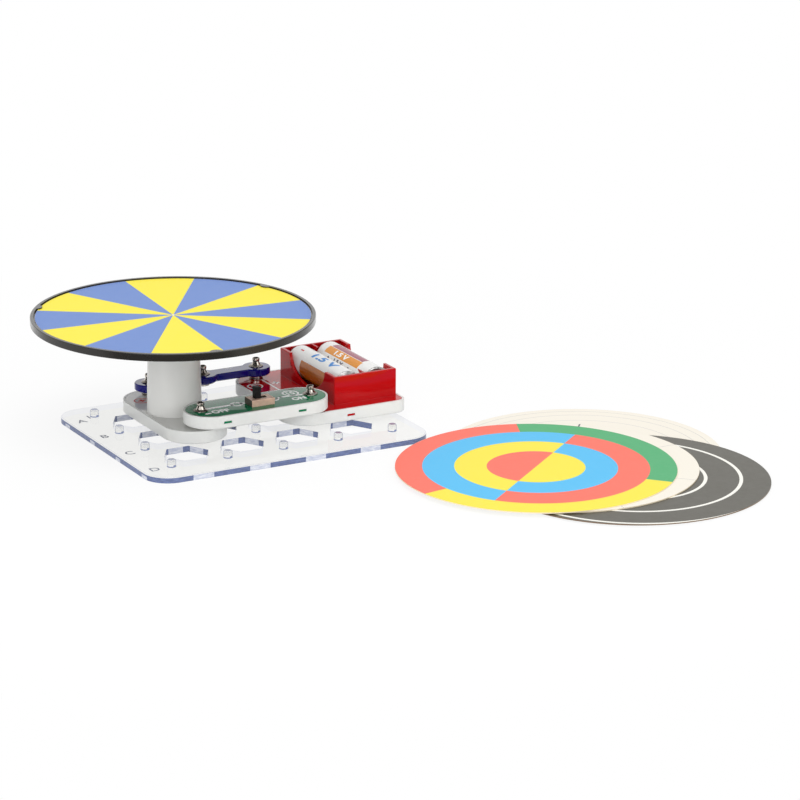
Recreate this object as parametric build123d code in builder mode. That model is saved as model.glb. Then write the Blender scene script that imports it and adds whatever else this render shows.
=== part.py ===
from build123d import *
import os

# Motor-driven colour disc on a clear block grid, with a switch, a battery box and spare cards.
# Millimetres, +Z up. The origin lies on the motor axis, at the underside of the base grid.

# Block grid: every module takes its place from these columns (1 to 5) and rows (A at the back)
peg_spacing = 28.0
grid_columns = 5
grid_rows = "ABCD"
motor_column = 2
motor_row = "B"
base_thickness = 2.8
base_margin = 14.7
base_corner_radius = 12.0
base_edge_rounding = 0.4
hexagon_radius = 10.9
peg_radius = 2.05
peg_height = 3.4
peg_rounding = 0.5

# Snap fasteners: a stud on top of a module and a socket under it
stud_flange_radius = 3.5
stud_flange_thickness = 0.6
stud_flare_radius = 2.05
stud_neck_radius = 1.45
stud_neck_height = 0.5
stud_cone_height = 0.3
stud_nipple_radius = 1.75
stud_nipple_height = 3.6
stud_nipple_rounding = 0.4
stud_hole_radius = 0.8
stud_hole_depth = 1.6
stud_shank_radius = 1.2
socket_radius = 3.2
socket_bore_radius = 2.15
socket_depth = 3.7
socket_height = 4.1
socket_brim_radius = 4.2
socket_brim_thickness = 0.4
socket_protrusion = 0.8

# Module trays and the panels set into them
tray_height = 6.0
tray_wall = 1.0
tray_floor = 1.0
tray_overhang = 7.6
tray_foot_rounding = 0.5
panel_thickness = 1.4
post_radius = 4.6
post_slot_width = 3.6
peg_hole_radius = 2.6
window_width = 4.0
window_height = 1.1
window_centre_height = 2.8
clip_thickness = 0.9
clip_recess = 0.15
fit_gap = 0.05
panel_gap = 0.1
strip_thickness = 0.3
strip_width = 3.2
strip_leg_width = 1.6
cut_overrun = 1.0

# Motor module
motor_tray_width = 30.4
column_foot_radius = 12.8
column_top_radius = 11.8
column_top = 50.3
column_wall = 1.4
column_roof = 1.6
column_rounding = 0.8
column_rib_width = 1.4
column_rib_inset = 0.5
column_rib_height = 22.0
can_side_gap = 0.4
can_across_flats = 15.2
can_length = 25.0
can_wall = 0.6
can_boss_radius = 3.1
can_boss_height = 1.3
cap_thickness = 2.0
cap_plug_height = 2.6
cap_boss_height = 1.2
bush_radius = 2.2
bush_flange_radius = 2.8
bush_flange_thickness = 0.5
shaft_radius = 1.0
shaft_running_gap = 0.04
terminal_offset = 5.3
terminal_thickness = 0.4
terminal_width = 2.0
terminal_drop = 4.6
brush_height = 4.9
commutator_radius = 2.2
commutator_length = 4.0
commutator_lift = 3.2
brush_gap = 0.1
magnet_gap = 0.05
magnet_air_gap = 0.5
magnet_length = 18.0
magnet_width = 12.6
armature_radius = 6.6
armature_length = 12.0
armature_slot = 2.0
armature_shoe = 1.3
armature_arm = 2.2
armature_core_radius = 2.5
armature_poles = 3
winding_inner_radius = 2.7
winding_outer_radius = 4.4
winding_half_width = 2.5
winding_overhang = 1.6

# Turntable and cards
turntable_radius = 65.4
turntable_wall = 1.6
card_thickness = 0.6
card_gap = 0.1
card_edge_gap = 0.6
turntable_floor = 1.6
turntable_skirt = 0.7
turntable_edge = 0.25
turntable_running_gap = 2.0
turntable_boss_radius = 9.0
turntable_boss_inner_radius = 5.6
turntable_rib_width = 1.2
turntable_rib_count = 6
tab_count = 3
tab_angle = 22.0
tab_radius = 3.2
tab_thickness = 0.5
tab_overlap = 2.0
hub_collar_radius = 4.6
hub_collar_height = 1.8
hub_spigot_radius = 3.0
hub_cover = 0.4
shaft_end_gap = 0.2

# Link bar
link_end_radius = 6.8
link_bar_width = 8.0
link_thickness = 3.7
link_rise = 0.9
link_edge_rounding = 0.4
link_foot_rounding = 0.7
link_blend_radius = 1.5

# Switch module
switch_tray_width = 24.8
window_spacing = 38.0
window_shift = -1.2
frame_length = 11.6
frame_width = 7.6
frame_height = 3.1
frame_wall = 0.35
frame_shift = 0.7
frame_forward = 2.7
frame_rounding = 0.3
switch_travel = 3.0
knob_length = 2.8
knob_width = 3.2
knob_height = 5.4
knob_rounding = 0.3
carriage_end_gap = 0.55
carriage_width = 5.6
carriage_thickness = 1.2
carriage_gap = 0.05
insulator_thickness = 0.8
pin_spacing = 3.0
pin_thickness = 0.5
pin_width = 1.2
pin_head = 0.15
pin_drop = 3.4
bridge_gap = 0.1
bridge_length = 4.2
bridge_width = 1.4

# Battery module
battery_tray_left = 43.6
battery_tray_right = 103.5
battery_left_corner = 14.0
battery_right_corner = 5.0
box_centre_x = 85.1
box_wall = 1.5
box_height = 13.3
box_rounding = 0.4
notch_half_width = 17.9
notch_depth = 11.5
rib_length = 5.8
rib_height = 5.0
rib_thickness = 0.7
cell_radius = 7.1
cell_gap = 0.1
cell_divide = 1.0
cell_body_length = 48.6
cell_shoulder = 0.4
cell_nub_radius = 2.75
cell_nub_length = 1.3
jacket_thickness = 0.25
jacket_setback = 0.5
contact_thickness = 0.4
contact_width = 9.0
contact_height = 9.5
contact_link_height = 2.5
contact_tab_width = 3.0
contact_dimple_radius = 2.0
contact_dimple_height = 0.3
cell_end_gap = 0.1
spring_room = 1.5
spring_wire_radius = 0.25
spring_wire_sides = 6
spring_base_radius = 4.2
spring_tip_radius = 1.7
spring_turns = 2.5
spring_samples_per_turn = 48
strip_turn_share = 0.85
strip_offset = 4.5

# Spare cards on the table, from the bottom of the pile up: centres as shares of the card radius,
# from the front right corner of the base grid
spare_thickness = 0.5
spare_place_shares = {
    "spare_card_rings": (0.812, -0.717),
    "spare_card_spiral": (0.764, -1.413),
    "spare_card_radial": (0.448, -0.978),
    "spare_card_colours": (0.29, -0.938),
}


def column_x(column):
    return (column - motor_column) * peg_spacing


def row_y(row):
    return (grid_rows.index(motor_row) - grid_rows.index(row)) * peg_spacing


def upright(x, y, z):
    """A vertical plane through a point, drawn in X and Z."""
    return Plane(origin=(x, y, z), x_dir=(1, 0, 0), z_dir=(0, -1, 0))


def sideways(x, y, z):
    """A vertical plane through a point, drawn in Y and Z."""
    return Plane(origin=(x, y, z), x_dir=(0, 1, 0), z_dir=(1, 0, 0))


card_radius = turntable_radius - turntable_wall - card_edge_gap
can_radius = column_top_radius - column_wall - can_side_gap
magnet_outer_radius = can_radius - can_wall - magnet_gap
magnet_inner_radius = armature_radius + magnet_air_gap
carriage_length = frame_length - 2 * (frame_wall + carriage_end_gap) - switch_travel

# Heights of the two module levels and of the drive above them
level_pitch = tray_height + stud_flange_thickness + socket_protrusion
level_1 = base_thickness + socket_protrusion
level_2 = level_1 + level_pitch
socket_top = socket_height - socket_protrusion
turntable_floor_bottom = column_top + turntable_running_gap + turntable_skirt
turntable_floor_top = turntable_floor_bottom + turntable_floor
card_top = turntable_floor_top + card_thickness
turntable_top = card_top + card_gap + tab_thickness
can_top = column_top - column_roof
can_bottom = can_top - can_length
link_bottom = level_2 + link_rise
link_top = link_bottom + link_thickness

# Snap places of each module, named by column and row
motor_snaps = [(column_x(2), row_y("A")), (column_x(2), row_y("C"))]
link_snaps = [(column_x(column), row_y("A")) for column in (2, 3, 4)]
switch_snaps = [(column_x(2), row_y("C")), (column_x(4), row_y("C"))]
battery_snaps = [(column_x(4), row_y("A")), (column_x(4), row_y("C"))]
switch_centre = (column_x(3), row_y("C"))
module_length = 2 * peg_spacing + 2 * tray_overhang


def revolved(places, height, profile):
    """Solids of revolution about vertical axes, from one half profile of (radius, z) points."""
    with BuildPart() as turned:
        for x, y in places:
            with BuildSketch(upright(x, y, height)):
                with BuildLine():
                    Polyline(*profile, close=True)
                make_face()
            revolve(axis=Axis((x, y, 0), (0, 0, 1)))
    return turned


def export(builder, name):
    builder.part.label = name
    export_step(builder.part, f"parts/{name}.step")


def make_base_grid():
    """Clear plate with hexagonal openings between the pegs."""
    columns = [column_x(number + 1) for number in range(grid_columns)]
    rows = [row_y(row) for row in grid_rows]
    centre = ((columns[0] + columns[-1]) / 2, (rows[0] + rows[-1]) / 2)
    length = columns[-1] - columns[0] + 2 * base_margin
    width = rows[0] - rows[-1] + 2 * base_margin
    cells = [(x + peg_spacing / 2, y - peg_spacing / 2) for x in columns[:-1] for y in rows[:-1]]
    with BuildPart() as base_grid:
        with BuildSketch(Plane.XY):
            with Locations(centre):
                RectangleRounded(length, width, base_corner_radius)
        extrude(amount=base_thickness)
        chamfer(base_grid.faces().sort_by(Axis.Z)[-1].edges(), base_edge_rounding)
        with BuildSketch(Plane.XY):
            with Locations(*cells):
                RegularPolygon(hexagon_radius, 6)
        extrude(amount=base_thickness, mode=Mode.SUBTRACT)
        with BuildSketch(Plane.XY.offset(base_thickness)):
            with Locations(*[(x, y) for x in columns for y in rows]):
                Circle(peg_radius)
        extrude(amount=peg_height)
        tops = base_grid.edges().filter_by(GeomType.CIRCLE).group_by(Axis.Z)[-1]
        chamfer(tops, peg_rounding)
    return base_grid


def make_studs(snaps, panel_top, shank):
    """Rivet shank, round flange and hollow nipple of each upper snap."""
    flange = stud_flange_thickness
    neck = flange + stud_neck_height
    top = flange + stud_nipple_height
    profile = [
        (0, -shank),
        (stud_shank_radius, -shank),
        (stud_shank_radius, 0),
        (stud_flange_radius, 0),
        (stud_flange_radius, flange / 2),
        (stud_flange_radius - flange / 2, flange),
        (stud_flare_radius, flange),
        (stud_neck_radius, neck),
        (stud_nipple_radius, neck + stud_cone_height),
        (stud_nipple_radius, top - stud_nipple_rounding),
        (stud_nipple_radius - stud_nipple_rounding, top),
        (stud_hole_radius, top),
        (stud_hole_radius, top - stud_hole_depth),
        (0, top - stud_hole_depth),
    ]
    return revolved(snaps, panel_top, profile)


def make_sockets(snaps, bottom, protrusion=socket_protrusion):
    """Cup of each lower snap, with the brim that holds it under its module."""
    mouth = -protrusion
    top = socket_height - protrusion
    profile = [
        (socket_bore_radius, mouth),
        (socket_bore_radius, mouth + socket_depth),
        (0, mouth + socket_depth),
        (0, top),
        (socket_radius, top),
        (socket_radius, 0),
        (socket_brim_radius, 0),
        (socket_brim_radius, -socket_brim_thickness),
        (socket_radius, -socket_brim_thickness),
        (socket_radius, mouth),
    ]
    return revolved(snaps, bottom, profile)


def oblong(centre, width, turn, inset=0.0):
    """Outline of a three-pitch module with half-round ends."""
    with Locations(centre):
        SlotOverall(module_length - 2 * inset, width - 2 * inset, rotation=turn)


def motor_outline(inset=0.0):
    oblong((0, 0), motor_tray_width, 90, inset)


def switch_outline(inset=0.0):
    oblong(switch_centre, switch_tray_width, 0, inset)


def battery_outline(inset=0.0):
    """Rounded plate, wide corners on the snap side and tight ones beside the box."""
    length = battery_tray_right - battery_tray_left - 2 * inset
    centre_x = (battery_tray_right + battery_tray_left) / 2
    with BuildSketch(mode=Mode.PRIVATE) as plate:
        with Locations((centre_x, 0)):
            Rectangle(length, module_length - 2 * inset)
        fillet(plate.vertices().group_by(Axis.X)[0], battery_left_corner - inset)
        fillet(plate.vertices().group_by(Axis.X)[-1], battery_right_corner - inset)
    add(plate.sketch)


def make_tray(outline, snaps, bottom, pegs, windows, slots):
    """Open tray with a hollow, slotted post round each snap, peg holes and clip windows."""
    with BuildPart() as tray:
        with BuildSketch(Plane.XY.offset(bottom)):
            outline()
        extrude(amount=tray_height)
        chamfer(tray.faces().sort_by(Axis.Z)[0].edges(), tray_foot_rounding)
        with BuildSketch(Plane.XY.offset(bottom + tray_floor)):
            outline(tray_wall)
        extrude(amount=tray_height, mode=Mode.SUBTRACT)
        with BuildSketch(Plane.XY.offset(bottom)):
            with Locations(*snaps):
                Circle(post_radius)
        extrude(amount=tray_height - panel_thickness)
        with BuildSketch(Plane.XY.offset(bottom)):
            with Locations(*snaps):
                Circle(socket_radius + fit_gap)
        extrude(amount=tray_height, mode=Mode.SUBTRACT)
        if pegs:
            with BuildSketch(Plane.XY.offset(bottom)):
                with Locations(*pegs):
                    Circle(peg_hole_radius)
            extrude(amount=peg_height, mode=Mode.SUBTRACT)
        with BuildSketch(Plane.XY.offset(bottom + socket_top - strip_thickness)):
            with Locations(*slots):
                Rectangle(*slot_size(snaps, slots))
        extrude(amount=tray_height, mode=Mode.SUBTRACT)
        for x, y in windows:
            with BuildSketch(upright(x, y + tray_wall, bottom + window_centre_height)):
                Rectangle(window_width, window_height)
            extrude(amount=2 * tray_wall, mode=Mode.SUBTRACT)
    return tray


def slot_size(snaps, slots):
    """Length and width of the strip slots, which run from each snap towards the slot's centre."""
    if slots[0][0] == snaps[0][0]:
        return post_slot_width, 2 * abs(snaps[0][1] - slots[0][1])
    return 2 * abs(slots[0][0] - snaps[0][0]), post_slot_width


def strip_run(points, width=strip_width):
    """Flat strip along straight legs, as one rectangle for each leg."""
    for start, end in zip(points, points[1:]):
        with Locations(((start[0] + end[0]) / 2, (start[1] + end[1]) / 2)):
            Rectangle(abs(end[0] - start[0]) + width, abs(end[1] - start[1]) + width)


def add_clips(windows, middle_y, panel_bottom, tray_bottom):
    """Legs under a panel whose hooks fill the windows of the tray wall."""
    window_middle = tray_bottom + window_centre_height
    leg_bottom = window_middle - window_height / 2
    for x, y in windows:
        outward = 1 if y > middle_y else -1
        wall_inside = y - outward * (tray_wall / 2 + panel_gap)
        leg_middle = wall_inside - outward * clip_thickness / 2
        hook_tip = y + outward * (tray_wall / 2 - clip_recess)
        with BuildSketch(Plane.XY.offset(leg_bottom)) as leg:
            with Locations((x, leg_middle)):
                Rectangle(window_width - 2 * panel_gap, clip_thickness)
        extrude(leg.sketch, amount=panel_bottom - leg_bottom)
        with BuildSketch(Plane.XY.offset(leg_bottom + panel_gap)) as hook:
            with Locations((x, (leg_middle + hook_tip) / 2)):
                Rectangle(window_width - 2 * panel_gap, abs(hook_tip - leg_middle))
        extrude(hook.sketch, amount=window_height - 2 * panel_gap)


def shank_holes(snaps, panel_bottom):
    """Round holes through a panel for the rivet shanks of the studs."""
    with BuildSketch(Plane.XY.offset(panel_bottom)) as holes:
        with Locations(*snaps):
            Circle(stud_shank_radius + fit_gap)
    extrude(holes.sketch, amount=panel_thickness, mode=Mode.SUBTRACT)


def make_motor_housing():
    """Panel of the motor module with the hollow column that holds the motor."""
    panel_bottom = level_1 + tray_height - panel_thickness
    height = column_top - panel_bottom
    roof_bottom = height - column_roof
    with BuildPart() as motor_housing:
        with BuildSketch(Plane.XY.offset(panel_bottom)):
            motor_outline(tray_wall + panel_gap)
            Circle(column_foot_radius - column_wall, mode=Mode.SUBTRACT)
        extrude(amount=panel_thickness)
        with BuildSketch(upright(0, 0, panel_bottom)):
            with BuildLine():
                Polyline(
                    (column_foot_radius - column_wall, 0),
                    (column_foot_radius, 0),
                    (column_top_radius, height - column_rounding),
                    (column_top_radius - column_rounding, height),
                    (can_boss_radius + fit_gap, height),
                    (can_boss_radius + fit_gap, roof_bottom),
                    (column_top_radius - column_wall, roof_bottom),
                    close=True,
                )
            make_face()
        revolve(axis=Axis.Z)
        rib_inner = can_radius + panel_gap
        rib_outer = column_top_radius - column_rib_inset
        with BuildSketch(Plane.XY.offset(can_top - column_rib_height)):
            with PolarLocations((rib_inner + rib_outer) / 2, 4):
                Rectangle(rib_outer - rib_inner, column_rib_width)
        extrude(amount=column_rib_height)
        shank_holes(motor_snaps, panel_bottom)
    return motor_housing


def can_outline(inset):
    Circle(can_radius - inset)
    Rectangle(2 * can_radius, can_across_flats - 2 * inset, mode=Mode.INTERSECT)


def make_motor_can():
    with BuildPart() as motor_can:
        with BuildSketch(Plane.XY.offset(can_bottom)):
            can_outline(0)
        extrude(amount=can_length)
        with BuildSketch(Plane.XY.offset(can_bottom)):
            can_outline(can_wall)
        extrude(amount=can_length - can_wall, mode=Mode.SUBTRACT)
        with BuildSketch(Plane.XY.offset(can_top)):
            Circle(can_boss_radius)
        extrude(amount=can_boss_height)
        with BuildSketch(Plane.XY.offset(can_top - can_wall)):
            Circle(bush_radius + fit_gap)
        extrude(amount=can_wall + can_boss_height, mode=Mode.SUBTRACT)
    return motor_can


def make_motor_end_cap():
    """Moulded cap that closes the can and carries the rear bush and the terminals."""
    bottom = can_bottom - cap_thickness
    with BuildPart() as motor_end_cap:
        with BuildSketch(Plane.XY.offset(bottom)):
            can_outline(0)
        extrude(amount=cap_thickness)
        with BuildSketch(Plane.XY.offset(can_bottom)):
            can_outline(can_wall + panel_gap)
            Circle(commutator_radius + can_boss_radius, mode=Mode.SUBTRACT)
        extrude(amount=cap_plug_height)
        with BuildSketch(Plane.XY.offset(bottom - cap_boss_height)):
            Circle(can_boss_radius)
        extrude(amount=cap_boss_height)
        with BuildSketch(Plane.XY.offset(bottom - cap_boss_height)):
            Circle(bush_radius + fit_gap)
        extrude(amount=cap_thickness + cap_boss_height, mode=Mode.SUBTRACT)
        slot_middle = terminal_offset + terminal_thickness / 2
        with BuildSketch(Plane.XY.offset(bottom)):
            with Locations((0, slot_middle), (0, -slot_middle)):
                Rectangle(terminal_width + 2 * fit_gap, terminal_thickness + 2 * fit_gap)
        extrude(amount=cap_thickness + cap_plug_height, mode=Mode.SUBTRACT)
    return motor_end_cap


def make_motor_bushes():
    """Flanged bronze bushes at both ends of the motor."""
    bore = shaft_radius + shaft_running_gap
    roof = can_top - can_wall
    cap_inside = can_bottom
    lengths = can_wall + can_boss_height, cap_thickness + cap_boss_height
    front = [
        (bore, -bush_flange_thickness),
        (bush_flange_radius, -bush_flange_thickness),
        (bush_flange_radius, 0),
        (bush_radius, 0),
        (bush_radius, lengths[0]),
        (bore, lengths[0]),
    ]
    rear = [
        (bore, bush_flange_thickness),
        (bush_flange_radius, bush_flange_thickness),
        (bush_flange_radius, 0),
        (bush_radius, 0),
        (bush_radius, -lengths[1]),
        (bore, -lengths[1]),
    ]
    with BuildPart() as motor_bushes:
        for height, profile in ((roof, front), (cap_inside, rear)):
            with BuildSketch(upright(0, 0, height)):
                with BuildLine():
                    Polyline(*profile, close=True)
                make_face()
            revolve(axis=Axis.Z)
    return motor_bushes


def make_motor_terminals():
    """Two brass tabs that end inside the motor as brushes."""
    cap_bottom = can_bottom - cap_thickness
    tab_bottom = cap_bottom - terminal_drop
    arm_top = can_bottom + brush_height
    tip = commutator_radius + brush_gap
    inner = terminal_offset
    outer = terminal_offset + terminal_thickness
    with BuildPart() as motor_terminals:
        for side in (1, -1):
            with BuildSketch(sideways(-terminal_width / 2, 0, 0)):
                with BuildLine():
                    Polyline(
                        (side * inner, tab_bottom),
                        (side * outer, tab_bottom),
                        (side * outer, arm_top),
                        (side * tip, arm_top),
                        (side * tip, arm_top - terminal_thickness),
                        (side * inner, arm_top - terminal_thickness),
                        close=True,
                    )
                make_face()
            extrude(amount=terminal_width)
    return motor_terminals


def make_motor_magnets():
    with BuildPart() as motor_magnets:
        with BuildSketch(Plane.XY.offset(can_top - can_wall - bush_flange_thickness - magnet_length)):
            Circle(magnet_outer_radius)
            Circle(magnet_inner_radius, mode=Mode.SUBTRACT)
            Rectangle(2 * can_radius, magnet_width, mode=Mode.INTERSECT)
        extrude(amount=magnet_length)
    return motor_magnets


# The armature sits at the middle of the magnets
armature_bottom = can_top - can_wall - bush_flange_thickness - (magnet_length + armature_length) / 2


def make_motor_armature():
    """Three-pole laminated core."""
    shoe_inner = armature_radius - armature_shoe
    arm_length = shoe_inner - armature_core_radius + 2 * fit_gap
    arm_middle = (shoe_inner + armature_core_radius) / 2
    half_turn = 180 / armature_poles
    with BuildPart() as motor_armature:
        with BuildSketch(Plane.XY.offset(armature_bottom)):
            Circle(armature_radius)
            Circle(shoe_inner, mode=Mode.SUBTRACT)
            with PolarLocations(armature_radius, armature_poles, start_angle=half_turn):
                Rectangle(2 * armature_shoe + armature_slot, armature_slot, mode=Mode.SUBTRACT)
            with PolarLocations(arm_middle, armature_poles):
                Rectangle(arm_length, armature_arm)
            Circle(armature_core_radius)
            Circle(shaft_radius + fit_gap, mode=Mode.SUBTRACT)
        extrude(amount=armature_length)
    return motor_armature


def make_motor_windings():
    """One closed coil round each arm of the core."""
    radial = winding_outer_radius - winding_inner_radius
    middle = (winding_outer_radius + winding_inner_radius) / 2
    with BuildPart() as motor_windings:
        with BuildSketch(Plane.XY.offset(armature_bottom - winding_overhang)):
            with PolarLocations(middle, armature_poles):
                Rectangle(radial, 2 * winding_half_width)
        extrude(amount=armature_length + 2 * winding_overhang)
        with BuildSketch(Plane.XY.offset(armature_bottom - fit_gap)):
            with PolarLocations(middle, armature_poles):
                Rectangle(radial + cut_overrun, armature_arm + 2 * fit_gap)
        extrude(amount=armature_length + 2 * fit_gap, mode=Mode.SUBTRACT)
    return motor_windings


def make_motor_commutator():
    with BuildPart() as motor_commutator:
        with BuildSketch(Plane.XY.offset(can_bottom + commutator_lift)):
            Circle(commutator_radius)
            Circle(shaft_radius + fit_gap, mode=Mode.SUBTRACT)
        extrude(amount=commutator_length)
    return motor_commutator


def make_motor_shaft():
    bottom = can_bottom - cap_thickness - cap_boss_height
    top = turntable_floor_top - hub_cover - shaft_end_gap
    with BuildPart() as motor_shaft:
        with BuildSketch(Plane.XY.offset(bottom)):
            Circle(shaft_radius)
        extrude(amount=top - bottom)
    return motor_shaft


def make_motor_strips():
    """Bent strips from the two snaps up to the motor terminals."""
    strip_bottom = level_1 + socket_top
    strip_top = can_bottom - cap_thickness - terminal_drop / 2
    inner = terminal_offset + terminal_thickness
    with BuildPart() as motor_strips:
        for x, y in motor_snaps:
            side = 1 if y > 0 else -1
            far = side * (abs(y) + strip_width / 2)
            with BuildSketch(sideways(-strip_width / 2, 0, strip_bottom)):
                with BuildLine():
                    Polyline(
                        (far, 0),
                        (side * inner, 0),
                        (side * inner, strip_top - strip_bottom),
                        (side * (inner + strip_thickness), strip_top - strip_bottom),
                        (side * (inner + strip_thickness), strip_thickness),
                        (far, strip_thickness),
                        close=True,
                    )
                make_face()
            extrude(amount=strip_width)
        strip_holes(motor_snaps, strip_bottom)
    return motor_strips


def strip_holes(snaps, bottom):
    """Holes in contact strips for the rivet shanks."""
    with BuildSketch(Plane.XY.offset(bottom)) as holes:
        with Locations(*snaps):
            Circle(stud_shank_radius + fit_gap)
    extrude(holes.sketch, amount=strip_thickness, mode=Mode.SUBTRACT)


def make_turntable():
    """Shallow dish with a raised rim, ribs under its floor and three tabs that hold the card."""
    rim_inner = turntable_radius - turntable_wall
    skirt = -turntable_skirt
    floor = turntable_floor
    rim_top = turntable_top - turntable_floor_bottom
    edge = turntable_edge
    with BuildPart() as turntable:
        with BuildSketch(upright(0, 0, turntable_floor_bottom)):
            with BuildLine():
                Polyline(
                    (hub_spigot_radius + fit_gap, 0),
                    (hub_spigot_radius + fit_gap, floor),
                    (rim_inner, floor),
                    (rim_inner, rim_top),
                    (turntable_radius - edge, rim_top),
                    (turntable_radius, rim_top - edge),
                    (turntable_radius, skirt + edge),
                    (turntable_radius - edge, skirt),
                    (rim_inner, skirt),
                    (rim_inner, 0),
                    close=True,
                )
            make_face()
        revolve(axis=Axis.Z)
        with BuildSketch(Plane.XY.offset(turntable_floor_bottom - turntable_skirt)):
            Circle(turntable_boss_radius)
            Circle(turntable_boss_inner_radius, mode=Mode.SUBTRACT)
            rib_middle = (turntable_boss_radius + rim_inner) / 2
            rib_length = rim_inner - turntable_boss_radius + turntable_wall
            with PolarLocations(rib_middle, turntable_rib_count):
                Rectangle(rib_length, turntable_rib_width)
        extrude(amount=turntable_skirt)
        with BuildSketch(Plane.XY.offset(turntable_top - tab_thickness)):
            with PolarLocations(rim_inner - tab_overlap + tab_radius, tab_count, start_angle=tab_angle):
                Circle(tab_radius)
            Circle(turntable_radius - turntable_wall / 2, mode=Mode.INTERSECT)
        extrude(amount=tab_thickness)
    return turntable


def make_turntable_hub():
    """Collar pressed on the shaft, with a spigot in the centre of the turntable."""
    collar = -hub_collar_height
    top = turntable_floor - hub_cover / 2
    shaft_top = turntable_floor - hub_cover - shaft_end_gap
    profile = [
        (shaft_radius + fit_gap, collar),
        (hub_collar_radius, collar),
        (hub_collar_radius, 0),
        (hub_spigot_radius, 0),
        (hub_spigot_radius, top),
        (0, top),
        (0, shaft_top + shaft_end_gap / 2),
        (shaft_radius + fit_gap, shaft_top + shaft_end_gap / 2),
    ]
    return revolved([(0, 0)], turntable_floor_bottom, profile)


def make_card(centre, bottom, thickness):
    with BuildPart() as card:
        with BuildSketch(Plane.XY.offset(bottom)):
            with Locations(centre):
                Circle(card_radius)
        extrude(amount=thickness)
    return card


def make_link_bar():
    """Three round ends joined by a narrower bar, with sockets and strip let in from below."""
    middle = link_snaps[1]
    with BuildPart() as link_bar:
        with BuildSketch(Plane.XY.offset(link_bottom)) as outline:
            with Locations(*link_snaps):
                Circle(link_end_radius)
            with Locations(middle):
                Rectangle(2 * peg_spacing, link_bar_width)
            fillet(outline.vertices(), link_blend_radius)
        extrude(amount=link_thickness)
        chamfer(link_bar.faces().sort_by(Axis.Z)[-1].edges(), link_edge_rounding)
        chamfer(link_bar.faces().sort_by(Axis.Z)[0].edges(), link_foot_rounding)
        with BuildSketch(Plane.XY.offset(level_2)):
            with Locations(*link_snaps):
                Circle(socket_radius + fit_gap)
            with Locations(middle):
                Rectangle(2 * peg_spacing, post_slot_width)
        extrude(amount=socket_top + strip_thickness + fit_gap, mode=Mode.SUBTRACT)
        with BuildSketch(Plane.XY.offset(level_2)):
            with Locations(*link_snaps):
                Circle(stud_shank_radius + fit_gap)
        extrude(amount=link_top - level_2, mode=Mode.SUBTRACT)
    return link_bar


def make_link_strip():
    bottom = level_2 + socket_top
    with BuildPart() as link_strip:
        with BuildSketch(Plane.XY.offset(bottom)):
            strip_run([link_snaps[0], link_snaps[-1]])
        extrude(amount=strip_thickness)
        strip_holes(link_snaps, bottom)
    return link_strip


# Switch places, shared by its case, its moving carriage and its pins
switch_top = level_2 + tray_height
frame_centre = (switch_centre[0] + frame_shift, switch_centre[1] - frame_forward)
pin_row = frame_centre[1]
insulator_top = switch_top + insulator_thickness
frame_inside_top = switch_top + frame_height - frame_wall
rest_x = frame_centre[0] - switch_travel / 2
switch_wall = switch_tray_width / 2 - tray_wall / 2
switch_windows = [
    (switch_centre[0] + window_shift + step * window_spacing / 2, switch_centre[1] + side * switch_wall)
    for step in (-1, 1)
    for side in (-1, 1)
]


def make_switch_panel():
    """Inset panel with clip legs and a slot for the pins of the slide switch."""
    panel_bottom = switch_top - panel_thickness
    with BuildPart() as switch_panel:
        with BuildSketch(Plane.XY.offset(panel_bottom)):
            switch_outline(tray_wall + panel_gap)
        extrude(amount=panel_thickness)
        add_clips(switch_windows, switch_centre[1], panel_bottom, level_2)
        with BuildSketch(Plane.XY.offset(panel_bottom)):
            with Locations((frame_centre[0], pin_row)):
                Rectangle(2 * pin_spacing + 2 * pin_width, 2 * pin_width)
        extrude(amount=panel_thickness, mode=Mode.SUBTRACT)
        shank_holes(switch_snaps, panel_bottom)
    return switch_panel


def make_switch_frame():
    """Folded metal case with a slot for the knob."""
    slot = knob_length + switch_travel + 4 * panel_gap
    with BuildPart() as switch_frame:
        with BuildSketch(Plane.XY.offset(switch_top)):
            with Locations(frame_centre):
                Rectangle(frame_length, frame_width)
        extrude(amount=frame_height)
        upper = switch_frame.faces().sort_by(Axis.Z)[-1].edges()
        fillet(upper, frame_rounding)
        with BuildSketch(Plane.XY.offset(switch_top)):
            with Locations(frame_centre):
                Rectangle(frame_length - 2 * frame_wall, frame_width - 2 * frame_wall)
        extrude(amount=frame_height - frame_wall, mode=Mode.SUBTRACT)
        with BuildSketch(Plane.XY.offset(switch_top)):
            with Locations(frame_centre):
                Rectangle(slot, knob_width + 2 * panel_gap)
        extrude(amount=frame_height, mode=Mode.SUBTRACT)
    return switch_frame


def make_switch_insulator():
    inset = 2 * frame_wall + 2 * fit_gap
    with BuildPart() as switch_insulator:
        with BuildSketch(Plane.XY.offset(switch_top)):
            with Locations(frame_centre):
                Rectangle(frame_length - inset, frame_width - inset)
            with Locations(*pin_places()):
                Rectangle(pin_thickness + 2 * fit_gap, pin_width + 2 * fit_gap, mode=Mode.SUBTRACT)
        extrude(amount=insulator_thickness)
    return switch_insulator


def pin_places():
    return [(frame_centre[0] + step * pin_spacing, pin_row) for step in (-1, 0, 1)]


def make_switch_pins():
    """Three flat pins with rolled heads on the insulating board."""
    with BuildPart() as switch_pins:
        with BuildSketch(Plane.XY.offset(switch_top - pin_drop)):
            with Locations(*pin_places()):
                Rectangle(pin_thickness, pin_width)
        extrude(amount=pin_drop + insulator_thickness)
        with BuildSketch(Plane.XY.offset(insulator_top)):
            with Locations(*pin_places()):
                Rectangle(pin_width, pin_width)
        extrude(amount=pin_head)
    return switch_pins


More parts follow.
